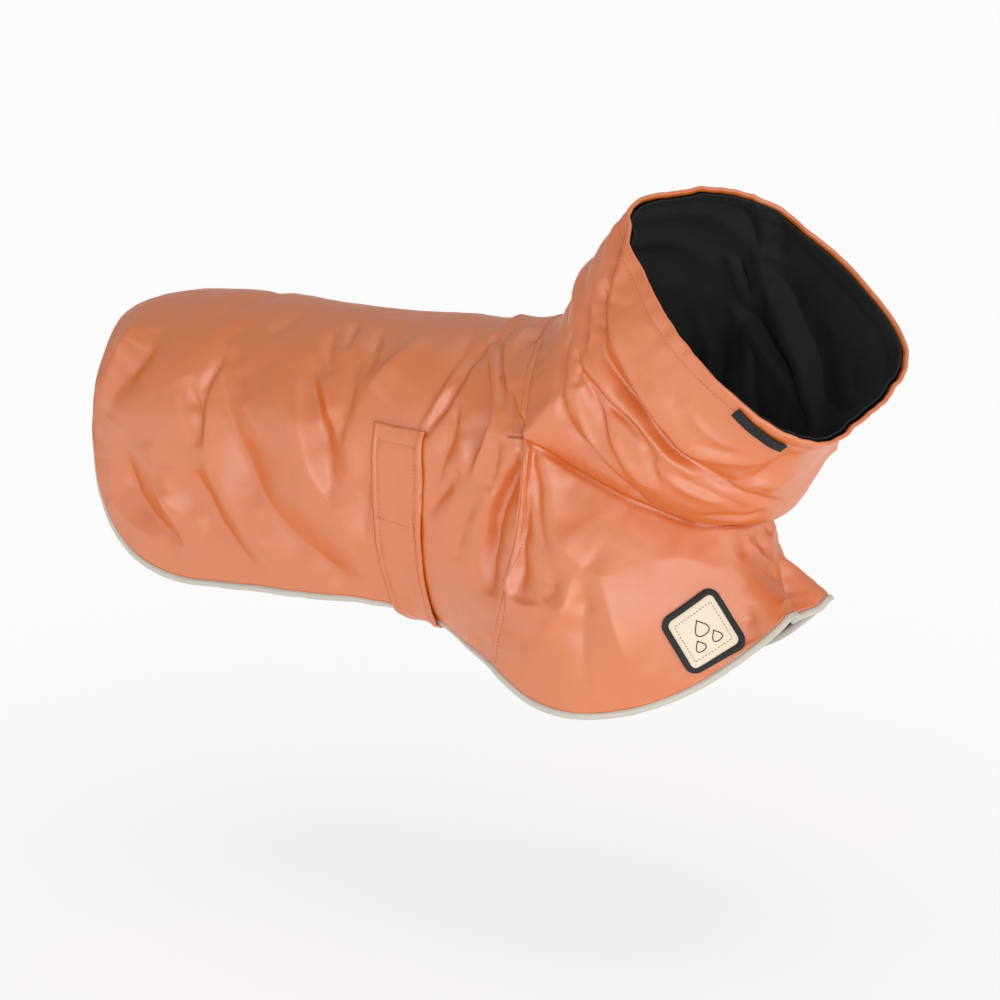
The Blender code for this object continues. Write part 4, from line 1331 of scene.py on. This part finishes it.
# %% Strap, laid from side to side
STRAP_CLOTH = 0.0018
LAY_GAP = 0.0005
STRAP_CLEAR = 0.0014  # more air near the hem, as it goes over the piping
STRAP_ROWS = (14, 16)  # of the back
STRAP_TOP = 13  # column of the back where its near end is sewn on
FAR_CELLS = 3  # as far up inside the far side
HEM_FADE, FAR_FADE = 8, 5  # points over which the air near the hem fades
SEAM_GAP = 0.0003
PIPING_WIDTH = 0.0050
PAST_STEPS = 3
EASE_TIMES, EASED = 6, 38  # how often the bends are evened out, and over how many points
BELLY_Y = np.linspace(-0.036, 0.036, 31)
BELLY_Z = -0.2090
BELLY_RISE = 0.0030
strap_rows = slice(int(back.index(0, STRAP_ROWS[0])), int(back.index(0, STRAP_ROWS[1])) + 1)
down = int(back.index(1, STRAP_TOP))
up_inside = FAR_CELLS * FAR_STEPS
far_columns = slice(None, -up_inside - 2, -1)
near, near_out = back.points[strap_rows, down::-1], back.out[strap_rows, down::-1]
far, far_out = back.points[strap_rows, far_columns], back.out[strap_rows, far_columns]
by_hem = np.exp(-np.arange(down, -1, -1) / HEM_FADE)[None, :, None]
near = near + near_out * (LAY_GAP + STRAP_CLOTH / 2 + STRAP_CLEAR * by_hem)
by_hem = np.exp(-np.arange(up_inside + 1) / FAR_FADE)[None, :, None]
far = far - far_out * (SHELL + LAY_GAP + STRAP_CLOTH / 2 + STRAP_CLEAR * by_hem)


def past(before, edge):
    """Points as far on from the edge as clears its piping, in three steps."""
    steps = np.arange(1, PAST_STEPS + 1)[None, :, None] / PAST_STEPS
    return edge[:, None] + unit(edge - before)[:, None] * (SEAM_GAP + PIPING_WIDTH + LAY_GAP) * steps


beyond_near = past(near[:, -4], near[:, -1])
beyond_far = past(far[:, 3], far[:, 0])[:, ::-1]
belly_z = BELLY_Z + BELLY_RISE * (BELLY_Y / BELLY_Y[-1]) ** 2
middle_x = np.linspace(near[0, -1, 0], near[-1, -1, 0], near.shape[0])
belly = np.array([np.stack([np.full(len(BELLY_Y), x), BELLY_Y, belly_z], axis=1) for x in middle_x])
strap_points = np.concatenate([near, beyond_near, belly, beyond_far, far], axis=1)
for _ in range(EASE_TIMES):
    eased = (strap_points[:, :-2] + 2 * strap_points[:, 1:-1] + strap_points[:, 2:]) / 4
    strap_points[:, down + 2 : down + 2 + EASED] = eased[:, down + 1 : down + 1 + EASED]
print("strap:", strap_points.shape[:2], "mm long:", round(1000 * along(strap_points[8])[-1]))

# %% [markdown]
# Now the strap is a panel of its own, and takes creases, edges that curl a little and lines of sewing as
# the others did. It is sewn down with a row along each side, a rectangle at its end and a row across.

# %% Strap, creased and sewn


class Fine(Panel):
    """A panel whose points are given, with its rows and columns numbered by its own points."""

    def __init__(self, points):
        self.points, self.steady = points, 0
        self.knots = [np.arange(count) for count in points.shape[:2]]
        self.closed = False
        self.turn_out()


count = len(strap_points)
strap_points = smooth(np.arange(count), strap_points, np.linspace(0, count - 1, 2 * count - 1))
strap = Fine(strap_points[::-1])
strap.push(np.full(strap.points.shape[:2], STRAP_CLOTH / 2))
crease(strap, [strap.points[:, 0]], swell=(0.02, 0.0004), ripple=(0.007, 0.0002))
LAST = strap.points.shape[0] - 1
FRONT_IN, REAR_IN = 7.0, LAST - 5.0  # rows of the two long lines
END_IN, HALF_WAY, ACROSS = 7, 22, 42  # columns of the rectangle: its end, its middle and the row across
ON_DOWN = 60  # column halfway down the long lines
STRAP_STITCHES = (
    [(FRONT_IN, END_IN), (REAR_IN, END_IN)],
    [(FRONT_IN, END_IN), (FRONT_IN, HALF_WAY), (FRONT_IN, ACROSS)],
    [(REAR_IN, END_IN), (REAR_IN, HALF_WAY), (REAR_IN, ACROSS)],
    [(FRONT_IN, ACROSS), (REAR_IN, ACROSS)],
    [(FRONT_IN, ACROSS), (FRONT_IN, ON_DOWN), (FRONT_IN, down - 2)],
    [(REAR_IN, ACROSS), (REAR_IN, ON_DOWN), (REAR_IN, down - 2)],
)
EDGE_CURL = (-0.0008, -0.0001, 0.0004, 0.0006, 0.0004, 0.0001)  # out of flat, for each row in from a side
rise = np.zeros(strap.points.shape[:2])
for row, height in enumerate(EDGE_CURL):
    rise[row] += height
    rise[LAST - row] += height
strap.push(rise)
for seed, line in enumerate(STRAP_STITCHES):
    sew(strap, run_on(strap, line).points, 0.0007, 0.0002, reach=0.003, pitch=0.006, seed=30.5 + seed)
strap_piece = cloth("strap_cloth", strap.points, STRAP_CLOTH, coral_strap, coral_strap)
dress(strap_piece, "strap", "belly_strap")
print("strap rows:", LAST + 1)

# %% [markdown]
# ## Patch and tab
#
# The cream patch is a small twill square with a merrowed edge: thick black thread wound over its border.
# It is laid on the chest, so its flat points are first matched to places on the panel, and then lifted
# off it. A Shrinkwrap modifier could lay it too, but would press it into every crease. A stiff patch lies
# over them, so it is laid on a softened copy of the panel.

# %% Flat shapes laid on a panel
TRIES = 12
STEP = 0.8  # of the way at each try, so that the place settles


def flat_grid(size, counts):
    """Flat points over a rectangle of this size round its middle, so many each way."""
    sides = [np.linspace(-length / 2, length / 2, count) for length, count in zip(size, counts)]
    return np.stack(np.meshgrid(*sides, indexing="ij"), axis=-1)


def spread(panel, place, turn, flat_points):
    """Places on a panel for flat points given in metres round one place, turned by an angle."""
    steps = np.array([(0.5, 0.0), (0.0, 0.5)])
    sides = [panel.at(place + step) - panel.at(place - step) for step in steps]
    first = unit(sides[0])
    second = np.cross(unit(np.cross(*sides)), first)
    cos, sin = math.cos(math.radians(turn)), math.sin(math.radians(turn))
    axes = np.array([first * cos + second * sin, second * cos - first * sin])
    to_cells = np.linalg.pinv(np.stack(sides, axis=1))
    middle = panel.at(place)
    places = []
    for flat in np.reshape(flat_points, (-1, 2)):
        at = np.array(place)
        for _ in range(TRIES):
            at = at + to_cells @ (middle + flat @ axes - panel.at(at)) * STEP
        places.append(at)
    return np.reshape(places, np.shape(flat_points))


def laid_on(panel, places, lift):
    """Points and outward directions over a grid of places on a panel."""
    flat = places.reshape(-1, 2)
    on = np.array([panel.at(place) for place in flat]).reshape(*places.shape[:2], 3)
    out = unit(np.array([panel.out_at(place) for place in flat])).reshape(on.shape)
    return on + out * np.reshape(lift, (-1, 1, 1)), out


def softened(panel, times):
    """A copy of a panel with its small creases worn off, as stiff things lie over them."""
    points = panel.points.copy()
    for _ in range(times):
        points[1:-1] = (points[:-2] + 2 * points[1:-1] + points[2:]) / 4
        points[:, 1:-1] = (points[:, :-2] + 2 * points[:, 1:-1] + points[:, 2:]) / 4
    made = copy.copy(panel)
    made.points = points
    made.turn_out()
    return made


print("flat shapes can be laid on a panel")

# %% Patch
PATCH_PLACE = np.array((7.75, 4.6))
PATCH_SIZE = np.array((0.043, 0.045))
PATCH_BORDER = 0.0042
PATCH_UNDER = 0.001  # of the twill that the border hides
PATCH_TURN = 12.0
PATCH_LIFT = 0.0017
PATCH_CLOTH = 0.0010
bed = softened(chest, 6)
side = PATCH_SIZE - 2 * PATCH_BORDER + PATCH_UNDER
face = flat_grid(side, (20, 20))
points, out = laid_on(bed, spread(bed, PATCH_PLACE, PATCH_TURN, face), PATCH_LIFT)
patch_piece = cloth("patch_twill", points, PATCH_CLOTH, twill, twill)
dress(patch_piece, "patch", "patch_face")
print("patch face, mm:", (1000 * side).round(1))

# %% [markdown]
# The border is one closed run of rings round a square with round corners. The rings bulge in a ridge for
# each turn of the thread, which reads as winding and costs far less than a real thread would.

# %% Merrowed border
ROUND = 0.0060  # radius of the corners at the middle of the border
TURNS = 196  # turns of the thread
TURN_PROFILE = (0.0, 0.5, 1.0, 0.5)  # how high the thread is over one turn
BORDER_RISE = 0.0012
RIDGE_RISE, RIDGE_SPREAD = 0.0003, 0.03
half = PATCH_SIZE / 2 - PATCH_BORDER / 2


def rounded_square(half, radius, count):
    """Evenly spaced points round a square with round corners, and the outward direction at each."""
    straight = half - radius
    corners = [(1, 1, 0), (-1, 1, 90), (-1, -1, 180), (1, -1, 270)]
    run, facing = [], []
    for x, y, start in corners:
        for turn in np.radians(np.linspace(start, start + 90, 12)):
            facing.append((math.cos(turn), math.sin(turn)))
            run.append(np.array((x, y)) * straight + radius * np.array(facing[-1]))
    run, facing = np.array(run + run[:1]), np.array(facing + facing[:1])
    steps = np.concatenate([[0], np.linalg.norm(np.diff(run, axis=0), axis=1).cumsum()])
    at = np.linspace(0, steps[-1], count, endpoint=False)
    run = np.stack([np.interp(at, steps, run[:, k]) for k in range(2)], axis=1)
    facing = np.stack([np.interp(at, steps, facing[:, k]) for k in range(2)], axis=1)
    return run, unit(facing)


ring, facing = rounded_square(half, ROUND, TURNS * len(TURN_PROFILE))
across = np.radians(np.linspace(-20, 200, 11))
ridge = np.tile(TURN_PROFILE, TURNS)
rings = []
for turn in across:
    reach = math.cos(turn) * PATCH_BORDER / 2 * (1 + RIDGE_SPREAD * ridge)
    rings.append(ring + facing * reach[:, None])
places = spread(bed, PATCH_PLACE, PATCH_TURN, np.array(rings))
on, out = laid_on(bed, places, 0.0)
height = np.sin(across)[:, None] * (BORDER_RISE + RIDGE_RISE * ridge) + BORDER_RISE
points = on + out * height[:, :, None]
shape = grid_shape(points, close_rows=True, close_columns=True)
bmesh.ops.recalc_face_normals(shape, faces=shape.faces)
border_piece = object_from("patch_binding", shape, black_thread)
dress(border_piece, "patch_edge", "patch_border")
print("turns of thread:", TURNS)

# %% [markdown]
# The tab is a narrow black tape on the collar's edge. It is laid on the snood in the same way as the
# patch.

# %% Tab
TAB_PLACE = np.array((10.15, 26.4))
TAB_SIZE = (0.038, 0.0075)
TAB_TURN = 90.0
TAB_LIFT, TAB_CLOTH = 0.0020, 0.0012
smooth_snood = softened(snood, 4)
tab_places = spread(smooth_snood, TAB_PLACE, TAB_TURN, flat_grid(TAB_SIZE, (30, 7)))
points, out = laid_on(smooth_snood, tab_places, TAB_LIFT)
tab_piece = cloth("collar_tape", points, TAB_CLOTH, black_tape, black_tape)
dress(tab_piece, "tab", "snood_tab")
print("tab, mm:", [1000 * size for size in TAB_SIZE])

# %% [markdown]
# ## Stitches
#
# Topstitching is what makes a sewn thing look sewn. Each stitch is a tiny stretched ball of few faces,
# sunk into the cloth at both ends, and set out along a line at an even pitch, with a little unevenness.
# Instances on a curve would be lighter, but one mesh for each kind of sewing is simple to export.

# %% Rows of stitches
ALONG = 0.0005  # how far before and after a stitch its direction is read
UNEVEN_LENGTH = 0.08


def add_stitches(shape, run, pitch=0.0027, size=(0.0020, 0.0005, 0.0004), lift=0.00005, cross=False):
    """Adds stitches along a run, or across it as in a bar tack."""
    at = along(run.points)
    count = int(at[-1] / pitch)
    for k in range(count):
        s = (k + 0.5) * at[-1] / count
        place = Vector([np.interp(s, at, run.points[:, i]) for i in range(3)])
        facing = Vector([np.interp(s, at, run.out[:, i]) for i in range(3)]).normalized()
        ahead = Vector([np.interp(s + ALONG, at, run.points[:, i]) for i in range(3)])
        behind = Vector([np.interp(s - ALONG, at, run.points[:, i]) for i in range(3)])
        forward = (ahead - behind).normalized()
        forward = (forward - facing * forward.dot(facing)).normalized()
        sideways = facing.cross(forward)
        if cross:
            forward, sideways = sideways, -forward
        turn = Matrix((forward, sideways, facing)).transposed().to_4x4()
        turn.translation = place + facing * lift
        long = 1 + UNEVEN_LENGTH * noise.noise((k * 1.3, s * 50, 0.7))
        scale = Matrix.Diagonal((size[0] * long / 2, size[1] / 2, size[2] / 2, 1))
        bmesh.ops.create_icosphere(shape, subdivisions=1, radius=1, matrix=turn @ scale)
    return count


def stitched(name, coat, slot, runs, **settings):
    """One piece with the stitches of all these runs."""
    shape = bmesh.new()
    count = sum(add_stitches(shape, run, **settings) for run in runs)
    piece = object_from(name, shape, coat)
    dress(piece, slot)
    print(name, count)
    return piece


seam_runs = [run_on(panel, path) for panel, path in TOPSTITCHING]
seam_stitches = stitched("seam_stitches", coral_thread, "shell", seam_runs)
collar_stitches = stitched("collar_stitches", coral_thread, "shell", [run_on(snood, collar_hem)])

# %% [markdown]
# The strap's stitches follow the lines that were sewn into it. At the shoulder point, where three pieces
# meet and pull, a maker adds a bar tack: a few close stitches across a short line.

# %% Stitches on the strap and the bar tack
strap_runs = [run_on(strap, line) for line in STRAP_STITCHES]
strap_stitches = stitched("strap_stitches", coral_thread, "strap", strap_runs)
tack = run_on(back, [(19.35, 13.02), (19.7, 13.0), (19.98, 12.97)])
tack_piece = stitched(
    "bar_tack", coral_thread, "shell", [tack], pitch=0.0006, size=(0.0024, 0.0006, 0.0006), cross=True,
)

# %% [markdown]
# The patch has three plain raindrops in close black stitches, and a frame of running stitch round them.
# They could be a texture, but stitches keep their edges from close by.

# %% Stitches on the patch
Drop = namedtuple("Drop", "x y size")
DROPS = (Drop(0.000, 0.004, 0.011), Drop(-0.0062, -0.0062, 0.008), Drop(0.0062, -0.0062, 0.008))
DROP_WIDTH = 0.62
DROP_POINT = 1.6  # how pointed its top is
FRAME = 0.0140


def on_patch(flat, lift):
    """A run over the patch through these flat points."""
    places = spread(bed, PATCH_PLACE, PATCH_TURN, np.array(flat))
    return Run(
        np.array([bed.at(p) + bed.out_at(p) * lift for p in places]),
        np.array([bed.out_at(p) for p in places]),
    )


def drop_outline(drop):
    """Flat points round a raindrop."""
    turns = np.linspace(0, 2 * math.pi, 40)
    wide = np.sin(turns) * np.sin(turns / 2) ** DROP_POINT
    return [
        (drop.x + drop.size * DROP_WIDTH * w, drop.y + drop.size * (0.5 * math.cos(t)))
        for w, t in zip(wide, turns)
    ]


frame_run = [(-FRAME, -FRAME), (FRAME, -FRAME), (FRAME, FRAME), (-FRAME, FRAME), (-FRAME, -FRAME)]
frame_lines = [np.linspace(a, b, 24) for a, b in zip(frame_run, frame_run[1:])]
motif_piece = stitched(
    "patch_motif", black_thread, "patch_edge", [on_patch(drop_outline(drop), PATCH_LIFT) for drop in DROPS],
    pitch=0.0007, size=(0.0011, 0.0009, 0.0006), lift=0.0001,
)
frame_piece = stitched(
    "patch_frame", black_thread, "patch_edge", [on_patch(line, PATCH_LIFT) for line in frame_lines],
    pitch=0.0023, size=(0.0015, 0.0005, 0.0004), lift=0.0001,
)
